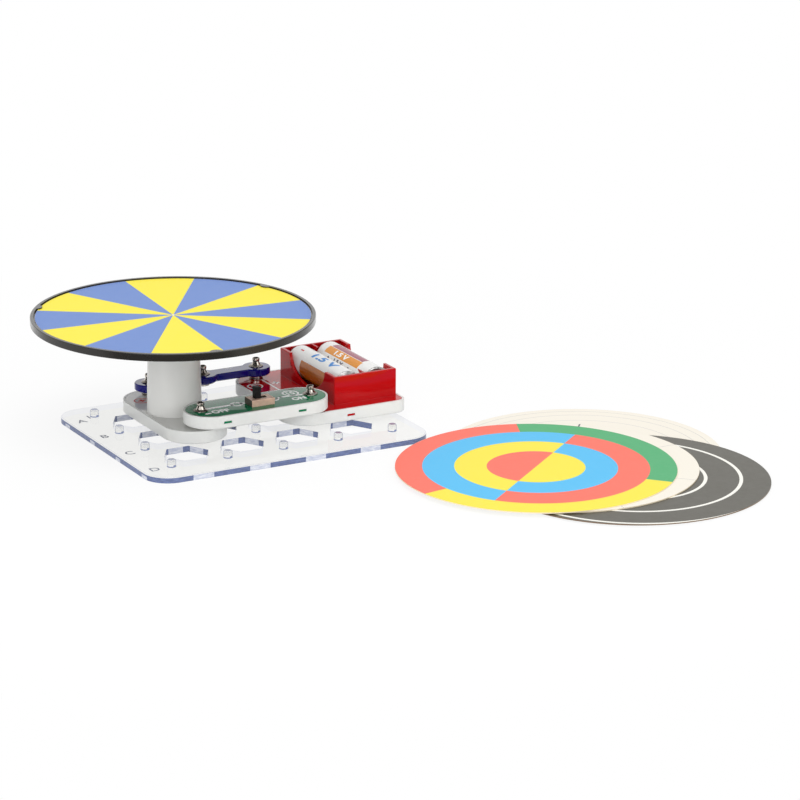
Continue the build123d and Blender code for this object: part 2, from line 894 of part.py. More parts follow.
def make_switch_knob():
    """Carriage under the case and the tall knob that stands out of its slot."""
    carriage_top = frame_inside_top - carriage_gap
    knob_top = switch_top + frame_height + knob_height
    with BuildPart() as switch_knob:
        with BuildSketch(Plane.XY.offset(carriage_top - carriage_thickness)):
            with Locations((rest_x, frame_centre[1])):
                Rectangle(carriage_length, carriage_width)
        extrude(amount=carriage_thickness)
        with BuildSketch(Plane.XY.offset(carriage_top)):
            with Locations((rest_x, frame_centre[1])):
                Rectangle(knob_length, knob_width)
        extrude(amount=knob_top - carriage_top)
        fillet(switch_knob.faces().sort_by(Axis.Z)[-1].edges(), knob_rounding)
    return switch_knob


def make_switch_bridge():
    """Brass bridge under the carriage that joins two pins."""
    top = frame_inside_top - carriage_gap - carriage_thickness
    bottom = insulator_top + pin_head + bridge_gap
    with BuildPart() as switch_bridge:
        with BuildSketch(Plane.XY.offset(bottom)):
            with Locations((rest_x, pin_row)):
                Rectangle(bridge_length, bridge_width)
        extrude(amount=top - bottom)
    return switch_bridge


def make_switch_strips():
    """Strips from the two snaps to the middle and right pins."""
    bottom = level_2 + socket_top
    pins = [(pin_places()[1], -1), (pin_places()[2], 1)]
    with BuildPart() as switch_strips:
        for (x, y), (pin, side) in zip(switch_snaps, pins):
            leg_x = pin[0] + side * (pin_thickness + strip_leg_width) / 2
            with BuildSketch(Plane.XY.offset(bottom)):
                strip_run([(x, y), (leg_x + side * (strip_width - strip_leg_width) / 2, y)])
                strip_run([(leg_x, y), (leg_x, pin[1])], strip_leg_width)
            extrude(amount=strip_thickness)
        strip_holes(switch_snaps, bottom)
    return switch_strips


# Battery box places, shared by the holder, its contacts and the cells
battery_wall = module_length / 2 - tray_wall / 2
battery_middle = (battery_tray_left + battery_tray_right) / 2
battery_windows = [(battery_middle, battery_wall), (battery_middle, -battery_wall)]
battery_top = level_1 + tray_height
box_top = battery_top + box_height
cell_total = cell_body_length + cell_nub_length
cell_spacing = 2 * cell_radius + cell_divide
cell_axis_height = battery_top + cell_gap + cell_radius
plate_face = (cell_total + spring_room + contact_dimple_height + 2 * cell_end_gap) / 2
box_inside = plate_face + contact_thickness
box_length = 2 * (box_inside + box_wall)
box_width = cell_spacing + 2 * (cell_radius + cell_gap + box_wall)
left_cell_x = box_centre_x - cell_spacing / 2
right_cell_x = box_centre_x + cell_spacing / 2
cells = {"left_cell": (left_cell_x, -1), "right_cell": (right_cell_x, 1)}
tab_y = plate_face + contact_thickness / 2
contact_tabs = [(left_cell_x, tab_y), (right_cell_x, tab_y)]


def make_battery_holder():
    """Panel with the open cell box, finger notches in its long walls and two cell dividers."""
    panel_bottom = battery_top - panel_thickness
    inner_width = box_width - 2 * box_wall
    with BuildPart() as battery_holder:
        with BuildSketch(Plane.XY.offset(panel_bottom)):
            with Locations((box_centre_x, 0)):
                Rectangle(box_width, box_length)
        extrude(amount=box_top - panel_bottom)
        fillet(battery_holder.edges().filter_by(Axis.Z), box_rounding)
        fillet(battery_holder.faces().sort_by(Axis.Z)[-1].edges(), box_rounding)
        with BuildSketch(Plane.XY.offset(panel_bottom)):
            battery_outline(tray_wall + panel_gap)
        extrude(amount=panel_thickness)
        with BuildSketch(Plane.XY.offset(battery_top)):
            with Locations((box_centre_x, 0)):
                Rectangle(inner_width, 2 * box_inside)
        extrude(amount=box_top, mode=Mode.SUBTRACT)
        with BuildSketch(sideways(box_centre_x - box_width, 0, 0)):
            with Locations((0, box_top)):
                Ellipse(notch_half_width, notch_depth)
        extrude(amount=2 * box_width, mode=Mode.SUBTRACT)
        for side in (1, -1):
            root = side * (box_inside + box_wall / 2)
            tip = side * (box_inside - rib_length)
            with BuildSketch(sideways(box_centre_x - rib_thickness / 2, 0, 0)):
                with BuildLine():
                    Polyline((root, box_top), (tip, box_top), (root, box_top - rib_height), close=True)
                make_face()
            extrude(amount=rib_thickness)
        with BuildSketch(Plane.XY.offset(panel_bottom)):
            with Locations(*contact_tabs):
                Rectangle(contact_tab_width + 2 * fit_gap, contact_thickness + 2 * fit_gap)
        extrude(amount=panel_thickness, mode=Mode.SUBTRACT)
        add_clips(battery_windows, 0, panel_bottom, level_1)
        shank_holes(battery_snaps, panel_bottom)
    return battery_holder


def make_battery_contacts():
    """Joined plate at the front, two plates with tabs at the back, and a dimple for each nub."""
    with BuildPart() as battery_contacts:
        for side in (1, -1):
            middle_y = side * (plate_face + contact_thickness / 2)
            with BuildSketch(Plane.XY.offset(battery_top)):
                with Locations((left_cell_x, middle_y), (right_cell_x, middle_y)):
                    Rectangle(contact_width, contact_thickness)
            extrude(amount=contact_height)
        with BuildSketch(Plane.XY.offset(battery_top)):
            with Locations((box_centre_x, -plate_face - contact_thickness / 2)):
                Rectangle(cell_spacing, contact_thickness)
        extrude(amount=contact_link_height)
        tab_bottom = level_1 + socket_top + strip_thickness
        with BuildSketch(Plane.XY.offset(tab_bottom)):
            with Locations(*contact_tabs):
                Rectangle(contact_tab_width, contact_thickness)
        extrude(amount=battery_top - tab_bottom)
        for x, side in cells.values():
            with BuildSketch(Plane(origin=(x, side * plate_face, cell_axis_height), z_dir=(0, -side, 0))):
                Circle(contact_dimple_radius)
            extrude(amount=contact_dimple_height)
    return battery_contacts


def spring_path(x, side):
    """Conical coil of half-turn arcs, each a half circle on the chord between its ends."""
    start_y = side * (plate_face - spring_wire_radius)
    wire_run = spring_room - 2 * spring_wire_radius
    steps = round(2 * spring_turns)
    ends = []
    for step in range(steps + 1):
        radius = spring_base_radius + (spring_tip_radius - spring_base_radius) * step / steps
        turn = 1 if step % 2 == 0 else -1
        ends.append(Vector(x + turn * radius, start_y - side * wire_run * step / steps, cell_axis_height))
    with BuildLine() as coil:
        for step in range(steps):
            start, end = ends[step], ends[step + 1]
            turn = 1 if step % 2 == 0 else -1
            ThreePointArc(start, (start + end) / 2 + Vector(0, 0, turn * (end - start).length / 2), end)
    return coil.line


def make_battery_springs():
    """Conical spring behind the flat end of each cell."""
    with BuildPart() as battery_springs:
        for x, nub_side in cells.values():
            path = spring_path(x, -nub_side)
            with BuildSketch(Plane(origin=path @ 0, z_dir=path % 0)):
                RegularPolygon(spring_wire_radius, spring_wire_sides)
            sweep(path=path)
    return battery_springs


def least_spring_gap():
    """Least gap of a spring to itself, measured between points half a turn or more apart."""
    path = spring_path(left_cell_x, 1)
    samples = round(spring_samples_per_turn * spring_turns)
    points = [path @ (index / samples) for index in range(samples + 1)]
    apart = round(spring_samples_per_turn / 2)
    nearest = min(
        (points[first] - points[second]).length
        for first in range(samples + 1)
        for second in range(first + apart, samples + 1)
    )
    return nearest - 2 * spring_wire_radius


def make_battery_strips():
    """Straight strip from the back snap and a bent one from the front snap, both under the box."""
    bottom = level_1 + socket_top
    back, front = battery_snaps
    left_tab, right_tab = contact_tabs
    turn_x = battery_tray_left + (box_centre_x - box_width / 2 - battery_tray_left) * strip_turn_share
    turn_y = right_tab[1] - strip_offset
    runs = [
        [back, (left_tab[0], back[1])],
        [front, (turn_x, front[1]), (turn_x, turn_y), (right_tab[0], turn_y)],
    ]
    with BuildPart() as battery_strips:
        for run, tab in zip(runs, contact_tabs):
            with BuildSketch(Plane.XY.offset(bottom)):
                strip_run(run)
                strip_run([(tab[0], run[-1][1]), tab], contact_tab_width)
            extrude(amount=strip_thickness)
        strip_holes(battery_snaps, bottom)
    return battery_strips


def cell_ends(nub_side):
    """Y of the flat end and of the nub tip of a cell."""
    tip = nub_side * (plate_face - contact_dimple_height - cell_end_gap)
    return tip - nub_side * cell_total, tip


def make_cell_can(x, nub_side):
    """Steel can with its shoulder and positive nub."""
    flat, tip = cell_ends(nub_side)
    inner = cell_radius - jacket_thickness
    shoulder = cell_body_length - cell_shoulder
    with BuildPart() as can:
        with BuildSketch(Plane(origin=(x, flat, cell_axis_height), z_dir=(0, nub_side, 0))):
            Circle(inner)
        extrude(amount=shoulder)
        with BuildSketch(Plane(origin=(x, flat, cell_axis_height), z_dir=(0, nub_side, 0))):
            Circle(inner - cell_shoulder)
        extrude(amount=cell_body_length)
        with BuildSketch(Plane(origin=(x, flat, cell_axis_height), z_dir=(0, nub_side, 0))):
            Circle(cell_nub_radius)
        extrude(amount=cell_total)
    return can


def make_cell_jacket(x, nub_side):
    """Printed sleeve shrunk round the can."""
    flat, tip = cell_ends(nub_side)
    start = flat + nub_side * jacket_setback
    length = cell_body_length - cell_shoulder - 2 * jacket_setback
    with BuildPart() as jacket:
        with BuildSketch(Plane(origin=(x, start, cell_axis_height), z_dir=(0, nub_side, 0))):
            Circle(cell_radius)
            Circle(cell_radius - jacket_thickness + fit_gap / 2, mode=Mode.SUBTRACT)
        extrude(amount=length)
    return jacket


def build_motor_module():
    pegs = [(column_x(2), row_y("B"))]
    panel_top = level_1 + tray_height
    shank = tray_height - socket_top
    export(make_tray(motor_outline, motor_snaps, level_1, pegs, [], [(0, 0)]), "motor_tray")
    export(make_motor_housing(), "motor_housing")
    export(make_studs(motor_snaps, panel_top, shank), "motor_studs")
    export(make_sockets(motor_snaps, level_1), "motor_sockets")
    export(make_motor_strips(), "motor_strips")
    export(make_motor_can(), "motor_can")
    export(make_motor_end_cap(), "motor_end_cap")
    export(make_motor_bushes(), "motor_bushes")
    export(make_motor_terminals(), "motor_terminals")
    export(make_motor_magnets(), "motor_magnets")
    export(make_motor_armature(), "motor_armature")
    export(make_motor_windings(), "motor_windings")
    export(make_motor_commutator(), "motor_commutator")
    export(make_motor_shaft(), "motor_shaft")


def build_disc():
    export(make_turntable(), "turntable")
    export(make_turntable_hub(), "turntable_hub")
    export(make_card((0, 0), turntable_floor_top, card_thickness), "mounted_card")


def build_link():
    export(make_link_bar(), "link_bar")
    export(make_studs(link_snaps, link_top, link_top - level_2 - socket_top), "link_studs")
    export(make_sockets(link_snaps, link_bottom, socket_protrusion + link_rise), "link_sockets")
    export(make_link_strip(), "link_strip")


def build_switch_module():
    shank = tray_height - socket_top
    tray = make_tray(switch_outline, switch_snaps, level_2, [], switch_windows, [switch_centre])
    export(tray, "switch_tray")
    export(make_switch_panel(), "switch_panel")
    export(make_studs(switch_snaps, switch_top, shank), "switch_studs")
    export(make_sockets(switch_snaps, level_2), "switch_sockets")
    export(make_switch_strips(), "switch_strips")
    export(make_switch_frame(), "switch_frame")
    export(make_switch_insulator(), "switch_insulator")
    export(make_switch_pins(), "switch_pins")
    export(make_switch_bridge(), "switch_bridge")
    export(make_switch_knob(), "switch_knob")


def build_battery_module():
    panel_top = level_1 + tray_height
    shank = tray_height - socket_top
    pegs = [(column_x(4), row_y("B"))] + [(column_x(5), row_y(row)) for row in "ABC"]
    slots = [(x + 2 * post_radius, y) for x, y in battery_snaps]
    tray = make_tray(battery_outline, battery_snaps, level_1, pegs, battery_windows, slots)
    export(tray, "battery_tray")
    export(make_battery_holder(), "battery_holder")
    export(make_studs(battery_snaps, panel_top, shank), "battery_studs")
    export(make_sockets(battery_snaps, level_1), "battery_sockets")
    export(make_battery_strips(), "battery_strips")
    export(make_battery_contacts(), "battery_contacts")
    export(make_battery_springs(), "battery_springs")
    for place, (x, nub_side) in cells.items():
        export(make_cell_can(x, nub_side), f"{place}_can")
        export(make_cell_jacket(x, nub_side), f"{place}_jacket")
    print("least gap of a battery spring to itself", round(least_spring_gap(), 2))


def build_spare_cards():
    base_right = column_x(grid_columns) + base_margin
    base_front = row_y(grid_rows[-1]) - base_margin
    for level, (name, (across, along)) in enumerate(spare_place_shares.items()):
        centre = (base_right + across * card_radius, base_front + along * card_radius)
        export(make_card(centre, level * spare_thickness, spare_thickness), name)


os.makedirs("parts", exist_ok=True)
export(make_base_grid(), "base_grid")
build_motor_module()
build_disc()
build_link()
build_switch_module()
build_battery_module()
build_spare_cards()
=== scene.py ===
import bmesh
import bpy
import numpy as np
from mathutils import Matrix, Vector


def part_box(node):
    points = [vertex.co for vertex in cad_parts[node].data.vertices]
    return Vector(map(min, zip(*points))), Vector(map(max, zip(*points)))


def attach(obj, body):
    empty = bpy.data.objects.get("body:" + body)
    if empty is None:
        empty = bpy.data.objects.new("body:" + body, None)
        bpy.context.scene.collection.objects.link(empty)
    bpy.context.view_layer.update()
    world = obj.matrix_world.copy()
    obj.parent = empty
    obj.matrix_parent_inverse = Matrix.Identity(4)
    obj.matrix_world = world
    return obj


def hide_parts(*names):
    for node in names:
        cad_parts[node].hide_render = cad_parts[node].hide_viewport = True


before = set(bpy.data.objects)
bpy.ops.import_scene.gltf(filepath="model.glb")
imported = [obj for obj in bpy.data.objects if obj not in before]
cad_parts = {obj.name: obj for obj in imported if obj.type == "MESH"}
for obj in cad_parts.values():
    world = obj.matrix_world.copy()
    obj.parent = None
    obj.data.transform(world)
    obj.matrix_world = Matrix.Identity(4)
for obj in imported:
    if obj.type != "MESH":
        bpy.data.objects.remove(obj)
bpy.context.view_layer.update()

# Studio: a white table in a white room, a large soft box overhead, two lower ones to the front left and
# front right, and a long lens that looks down a little from the left front. Black cards stand at both
# sides and lie in front, seen by shiny and clear pieces alone, to give plated metal and gloss contrast.
MM = 0.001
camera_azimuth, camera_elevation, camera_roll = np.radians((-28.75, 17.26, 0.29))
# The middle of the base plate's top, and where it lies to the right of, above and ahead of the camera.
aim_point = np.array((28.0, -14.0, 2.8))
aim_in_view = np.array((-72.88, -10.86, 1680.3))
lens_length, sensor_width = 163.4, 36.0


def level_axes(azimuth, elevation):
    """Right, up and forward of a level camera: forward is minus (sin a cos e, -cos a cos e, sin e)."""
    forward = -np.array((
        np.sin(azimuth) * np.cos(elevation), -np.cos(azimuth) * np.cos(elevation), np.sin(elevation)
    ))
    right = np.cross(forward, (0, 0, 1))
    right /= np.linalg.norm(right)
    return right, np.cross(right, forward), forward


right, up, forward = level_axes(camera_azimuth, camera_elevation)
tilted_right = np.cos(camera_roll) * right + np.sin(camera_roll) * up
tilted_up = np.cos(camera_roll) * up - np.sin(camera_roll) * right
axes = np.array((tilted_right, tilted_up, forward))
camera_data = bpy.data.cameras.new("camera")
camera_data.lens = lens_length
camera_data.sensor_width = sensor_width
camera_data.clip_start, camera_data.clip_end = 0.1, 20.0
camera = bpy.data.objects.new("camera", camera_data)
camera.matrix_world = Matrix.LocRotScale(
    (aim_point - aim_in_view @ axes) * MM,
    Matrix(np.array((tilted_right, tilted_up, -forward)).T.tolist()).to_quaternion(),
    None,
)
bpy.context.scene.collection.objects.link(camera)
bpy.context.scene.camera = camera
bpy.context.scene.view_settings.view_transform = "Standard"


class Wire:
    """A shader socket that takes part in Python sums: each operator adds one Math node. On masks of 0
    and 1, | stands for or and & for and."""

    def __init__(self, wiring, socket):
        self.wiring, self.socket = wiring, socket

    def math(self, operation, *values):
        return self.wiring.node("ShaderNodeMath", {"operation": operation}, dict(enumerate(values)))

    def __add__(self, other):
        return self.math("ADD", self, other)

    def __radd__(self, other):
        return self.math("ADD", other, self)

    def __sub__(self, other):
        return self.math("SUBTRACT", self, other)

    def __rsub__(self, other):
        return self.math("SUBTRACT", other, self)

    def __mul__(self, other):
        return self.math("MULTIPLY", self, other)

    def __rmul__(self, other):
        return self.math("MULTIPLY", other, self)

    def __truediv__(self, other):
        return self.math("DIVIDE", self, other)

    def __mod__(self, other):
        return self.math("FLOORED_MODULO", self, other)

    def __abs__(self):
        return self.math("ABSOLUTE", self)

    def __lt__(self, other):
        return self.math("LESS_THAN", self, other)

    def __gt__(self, other):
        return self.math("GREATER_THAN", self, other)

    def root(self):
        return self.math("SQRT", self)

    def __or__(self, other):
        return self.math("MAXIMUM", self, other)

    def __and__(self, other):
        return self.math("MINIMUM", self, other)


class Wiring:
    """The node tree of a material or of the world."""

    def __init__(self, owner):
        owner.use_nodes = True
        self.owner, self.tree = owner, owner.node_tree

    def node(self, kind, settings=None, inputs=None, output=0):
        """Adds one node: its settings first, then a value or a wire for each named or numbered socket."""
        made = self.tree.nodes.new(kind)
        for key, value in (settings or {}).items():
            setattr(made, key, value)
        for key, value in (inputs or {}).items():
            if isinstance(value, Wire):
                self.tree.links.new(value.socket, made.inputs[key])
            else:
                made.inputs[key].default_value = value
        return Wire(self, made.outputs[output])

    def place(self, middle=(0.0, 0.0, 0.0)):
        """X, Y and Z in millimetres from a point of the object."""
        split = {"Vector": self.node("ShaderNodeTexCoord", output="Object")}
        return [
            self.node("ShaderNodeSeparateXYZ", {}, split, axis) / MM - offset
            for axis, offset in zip("XYZ", middle)
        ]

    def step(self, value, low, high):
        """Straight ramp from 0 at low to 1 at high, held at both ends."""
        return self.node("ShaderNodeMapRange", {"clamp": True}, {
            "Value": value, "From Min": low, "From Max": high
        })

    def light_path(self, *rays):
        """1 for a ray of any of these kinds, and 0 for the others."""
        found = [self.node("ShaderNodeLightPath", output=ray) for ray in rays]
        total = found[0]
        for ray in found[1:]:
            total = total | ray
        return total

    def out(self, shader):
        target = next(n for n in self.tree.nodes if n.type.startswith("OUTPUT"))
        self.tree.links.new(shader.socket, target.inputs["Surface"])


def rgb(red, green, blue):
    """Linear colour of an sRGB one given from 0 to 255: ((c + 0.055) / 1.055) to the power 2.4."""
    share = np.array((red, green, blue)) / 255
    linear = np.where(share > 0.04045, ((share + 0.055) / 1.055) ** 2.4, share / 12.92)
    return (*linear.tolist(), 1.0)


seen_rays = ("Is Camera Ray", "Is Glossy Ray", "Is Transmission Ray")
white = (1.0, 1.0, 1.0, 1.0)
room_fill = 0.7
room = Wiring(bpy.data.worlds.new("white_room"))
bpy.context.scene.world = room.owner
room.out(room.node("ShaderNodeMixShader", {}, {
    0: room.light_path(*seen_rays),
    1: room.node("ShaderNodeBackground", {}, {"Color": white, "Strength": room_fill}),
    2: room.node("ShaderNodeBackground", {}, {"Color": white, "Strength": 1.0}),
}))


def soft_box(name, azimuth, elevation, distance, size, watts):
    """Square area lamp, its distance and size in metres, that looks at the middle of the base plate."""
    lamp_data = bpy.data.lights.new(name, "AREA")
    lamp_data.size, lamp_data.energy = size, watts
    lamp = bpy.data.objects.new(name, lamp_data)
    side, above, ahead = level_axes(*np.radians((azimuth, elevation)))
    turn = Matrix(np.array((side, above, -ahead)).T.tolist()).to_quaternion()
    lamp.matrix_world = Matrix.LocRotScale(aim_point * MM - ahead * distance, turn, None)
    bpy.context.scene.collection.objects.link(lamp)


soft_box("overhead_box", -20, 80, 1.25, 0.9, 4.6)
soft_box("left_box", -46, 16, 1.2, 0.7, 3.9)
soft_box("right_box", 20, 20, 1.4, 0.7, 2.4)
all_rays = ("camera", "diffuse", "glossy", "transmission", "shadow")


def table_piece(name, corners, rays):
    """Flat four-cornered piece of the studio, in millimetres, that only some kinds of rays meet."""
    mesh = bpy.data.meshes.new(name)
    mesh.from_pydata([[value * MM for value in corner] for corner in corners], [], [(0, 1, 2, 3)])
    piece = bpy.data.objects.new(name, mesh)
    bpy.context.scene.collection.objects.link(piece)
    for ray in all_rays:
        setattr(piece, f"visible_{ray}", ray in rays)
    return piece


def level_piece(name, left, right, near, back, height, rays):
    """Level oblong piece between two values of x and two of y."""
    corners = [(left, near, height), (right, near, height), (right, back, height), (left, back, height)]
    return table_piece(name, corners, rays)


def upright_piece(name, x, near, back, height, rays):
    """Oblong piece that stands on the table, square to the X axis."""
    corners = [(x, near, 0.0), (x, back, 0.0), (x, back, height), (x, near, height)]
    return table_piece(name, corners, rays)


def distance_of(x, y):
    """Distance of the point (x, y) from the origin: the root of x squared plus y squared."""
    return (x * x + y * y).root()


reach, table_height = 4000.0, -0.2
floor = level_piece("table_top", -reach, reach, -reach, reach, table_height, all_rays)
paper = Wiring(bpy.data.materials.new("white_table"))
object_middle = (50.0, -50.0, 0.0)
x, y = paper.place(object_middle)[:2]
# The table looks plain white, save for a share of its own shading near the object that keeps the shadow.
near_share, shadow_reach, plain_reach = 0.86, 140.0, 330.0
plain_share = near_share + (1 - near_share) * paper.step(distance_of(x, y), shadow_reach, plain_reach)
paper.out(paper.node("ShaderNodeMixShader", {}, {
    0: paper.light_path(*seen_rays) * plain_share,
    1: paper.node("ShaderNodeBsdfDiffuse", {}, {"Color": (0.97, 0.97, 0.97, 1.0)}),
    2: paper.node("ShaderNodeEmission", {}, {"Color": white, "Strength": 1.0}),
}))
floor.data.materials.append(paper.owner)
black = Wiring(bpy.data.materials.new("black_card"))
black.out(black.node("ShaderNodeBsdfDiffuse", {}, {"Color": (0.01, 0.01, 0.01, 1.0)}))
card_height, card_rays = 520.0, ("glossy", "transmission")
black_cards = [
    upright_piece("left_black_card", -900.0, -500.0, 700.0, card_height, card_rays),
    upright_piece("right_black_card", 1100.0, -700.0, 500.0, card_height, card_rays),
    level_piece("front_black_card", -500.0, 70.0, -420.0, -82.0, table_height + 0.1, ("glossy",)),
]
for card in black_cards:
    card.data.materials.append(black.owner)


# Base grid: one clear styrene plate, 2.8 mm thick, moulded in one shot with its pegs and its hexagonal
# windows. The flats are polished and nearly invisible. The cut walls gather the light and look blue.
class Finish(Wiring):
    """A material round one Principled BSDF, whose even values are set on its own sockets."""

    def __init__(self, name, **even):
        super().__init__(bpy.data.materials.new(name))
        self.surface = self.tree.nodes["Principled BSDF"]
        self.lay(**even)

    def lay(self, **values):
        """Sets or links sockets of the Principled BSDF, named with _ for each space."""
        for key, value in values.items():
            socket = self.surface.inputs[key.replace("_", " ")]
            if isinstance(value, Wire):
                self.tree.links.new(value.socket, socket)
            else:
                socket.default_value = value

    def grain(self, size, detail=2.0, stretch=(1.0, 1.0, 1.0)):
        """Noise from 0 to 1 whose spots are about size millimetres wide, drawn out along an axis."""
        spot = self.node("ShaderNodeTexCoord", output="Object")
        scaled = self.node("ShaderNodeMapping", {}, {"Vector": spot, "Scale": tuple(
            1 / (size * MM * length) for length in stretch
        )})
        return self.node("ShaderNodeTexNoise", {}, {"Vector": scaled, "Scale": 1.0, "Detail": detail})

    def mix(self, share, first, second):
        """Colour that goes from first to second as share goes from 0 to 1."""
        return self.node("ShaderNodeMix", {"data_type": "RGBA"}, {0: share, 6: first, 7: second}, 2)

    def facing(self, axis):
        """The X, Y or Z part of the flat normal."""
        return self.node("ShaderNodeSeparateXYZ", {}, {
            "Vector": self.node("ShaderNodeNewGeometry", output="Normal")
        }, axis)

    def tone(self):
        """The colour that Base Color has so far."""
        return Wire(self, self.surface.inputs["Base Color"].links[0].from_socket)

    def rounded(self, radius):
        """Normal that rounds the edges of the mesh over a radius in millimetres."""
        return self.node("ShaderNodeBevel", {"samples": 4}, {"Radius": radius * MM})

    def edge(self, radius):
        """1 along the edges of the mesh and 0 on its flats: one minus flat normal dot rounded normal."""
        flat = self.node("ShaderNodeNewGeometry", output="Normal")
        agreement = self.node("ShaderNodeVectorMath", {"operation": "DOT_PRODUCT"}, {
            0: flat, 1: self.rounded(radius)
        }, "Value")
        return self.step(1 - agreement, 0.005, 0.12)

    def relief(self, height, depth, radius=0.0):
        """Normal of a height from 0 to 1 over a depth in millimetres, on edges rounded by a radius."""
        base = {"Normal": self.rounded(radius)} if radius else {}
        return self.node("ShaderNodeBump", {}, {
            "Height": height, "Distance": depth * MM, "Strength": 1.0, **base
        })


def paint(piece, finish):
    """Gives a piece this finish alone."""
    piece.data.materials.clear()
    piece.data.materials.append(finish.owner)


def settle(piece, finish, body, slot, *nodes, sharp=32.0):
    """Smooths a mesh up to its sharp edges, gives it its finish and makes it ride on its body."""
    bpy.context.scene.collection.objects.link(piece)
    piece.data.polygons.foreach_set("use_smooth", [True] * len(piece.data.polygons))
    piece.data.set_sharp_from_angle(angle=np.radians(sharp))
    paint(piece, finish)
    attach(piece, body)
    if nodes:
        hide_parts(*nodes)
    return piece


def smoothed(node, finish, body, slot):
    """Copy of a CAD node with its loose corners joined, so that its round walls shade as round."""
    made = bmesh.new()
    made.from_mesh(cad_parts[node].data)
    bmesh.ops.remove_doubles(made, verts=made.verts, dist=0.002 * MM)
    mesh = bpy.data.meshes.new(node + "_smooth")
    made.to_mesh(mesh)
    made.free()
    mesh.attributes.remove(mesh.attributes["custom_normal"])
    return settle(bpy.data.objects.new(node + "_smooth", mesh), finish, body, slot, node)


def see_through(finish, tint, share):
    """Lets a share of the light straight through, all of a lamp's light, and all light that leaves."""
    leaving = finish.node("ShaderNodeNewGeometry", output="Backfacing")
    finish.out(finish.node("ShaderNodeMixShader", {}, {
        0: finish.light_path("Is Shadow Ray") | leaving | share,
        1: Wire(finish, finish.surface.outputs[0]),
        2: finish.node("ShaderNodeBsdfTransparent", {}, {"Color": tint}),
    }))


def from_nearest(value, spacing):
    """Signed distance from the nearest multiple of a spacing s: (value + s / 2) modulo s, less s / 2."""
    return (value + spacing / 2) % spacing - spacing / 2


def angle_of(x, y):
    """Angle of the point (x, y) in degrees, anticlockwise from the first axis."""
    return y.math("ARCTAN2", y, x) * (180 / np.pi)


def banded(value, start, width, spacing):
    """1 in bands of one width, which follow each other at a spacing from a start, and 0 between them."""
    return (value - start) % spacing < width


plate_top, pitch = 2.8, 28.0
clear = Finish("clear_styrene", Roughness=0.02, IOR=1.5, Transmission_Weight=1.0)
x, y, z = clear.place()
peg_here = z > plate_top + 0.05
peg_x, peg_y = from_nearest(x, pitch), from_nearest(y, pitch)
# Painted shade: a dark line 1 mm high at the right of each peg's foot, and a lower one across its front.
to_right, to_back = peg_x * 0.8 - peg_y * 0.6, peg_x * 0.48 + peg_y * 0.88
right_foot_painted_shade = (z < plate_top + 1.0) & (to_right > 1.2)
front_foot_painted_shade = (z < plate_top + 0.5) & (to_back < -0.4)
# Painted shade and reflection: the pegs' sides seen edge on and the plate's edges get a dark blue outline.
grazing = clear.node("ShaderNodeLayerWeight", {}, {"Blend": 0.5}, "Facing")
peg_painted_outline = (clear.step(grazing, 0.3, 0.75) | right_foot_painted_shade | front_foot_painted_shade) * peg_here
painted_outline_share = peg_painted_outline | clear.edge(0.35)
clear.lay(
    Base_Color=clear.mix(painted_outline_share, rgb(253, 253, 252), rgb(66, 80, 130)),
    Normal=clear.relief(clear.grain(9.0), 0.004),
)
flat_share, peg_share = 0.66, 0.85
through_share = flat_share + (peg_share - flat_share) * peg_here - painted_outline_share
see_through(clear, rgb(249, 249, 248), through_share)
# Painted reflection: the walls of the windows and of the outline are painted in dark and pale bands.
# The bands follow the pegs' pitch and stand in for what the clear walls mirror and bend.
cut_edge = Finish("cut_edge", Roughness=0.14, IOR=1.3)
x, y, z = cut_edge.place()
middle_x, middle_y = 28.0, -14.0
windows_half_x, windows_half_y = 55.0, 39.0
in_window = (abs(x - middle_x) < windows_half_x) & (abs(y - middle_y) < windows_half_y)
window_angle = angle_of(x % pitch - pitch / 2, y % pitch - pitch / 2)
right_window = (x > 73.0) & (y < -pitch)
window_painted_shade = banded(window_angle, start=-4.0, width=18.0, spacing=60.0) | right_window
right_corner, upper_part, right_half = x > 84.0, z > 1.6, x > pitch
front_painted_shade = banded(x, start=14.0, width=17.8, spacing=pitch) | right_corner
side_painted_shade = banded(y, start=0.0, width=23.0, spacing=pitch) | upper_part | right_half
at_front = abs(cut_edge.facing("Y")) > 0.7
outline_painted_shade = at_front * front_painted_shade + (1 - at_front) * side_painted_shade
painted_shade_share = in_window * window_painted_shade + (1 - in_window) * outline_painted_shade
streaks = cut_edge.step(cut_edge.grain(2.6, 3.0, (1.0, 1.0, 0.3)), 0.4, 0.65)
tone = cut_edge.mix(painted_shade_share, rgb(186, 192, 212), rgb(66, 84, 134))
paler_tone = cut_edge.mix(painted_shade_share, rgb(220, 223, 232), rgb(88, 106, 158))
cut_edge.lay(
    Base_Color=cut_edge.mix(streaks, tone, paler_tone),
    Normal=cut_edge.relief(cut_edge.grain(3.0), 0.01, 0.15),
)
see_through(cut_edge, rgb(247, 248, 252), share=0.1)
# The faces that stand upright below the plate's top take the cut edge's finish.
grid_piece = smoothed("base_grid", clear, "stand", "clear_plastic")
grid_piece.data.materials.append(cut_edge.owner)
face_count = len(grid_piece.data.polygons)
face_normals = np.empty((face_count, 3), np.float32)
face_middles = np.empty((face_count, 3), np.float32)
grid_piece.data.polygons.foreach_get("normal", face_normals.ravel())
grid_piece.data.polygons.foreach_get("center", face_middles.ravel())
upright_limit = 0.6
upright_faces = (abs(face_normals[:, 2]) < upright_limit) & (face_middles[:, 2] < plate_top * MM)
grid_piece.data.polygons.foreach_set("material_index", upright_faces.astype(np.int32))


# Marks of the base grid: a letter by each row and a number by the first column, stamped into the plate.
# The clear marks are painted as thin dark grey strokes, a painted shade for the way they bend the light.
ink_depth, print_lift = 0.03, 0.02


def read(mesh):
    """Points and faces of a mesh."""
    points = np.empty((len(mesh.vertices), 3), np.float32)
    mesh.vertices.foreach_get("co", points.ravel())
    return points, [list(face.vertices) for face in mesh.polygons]


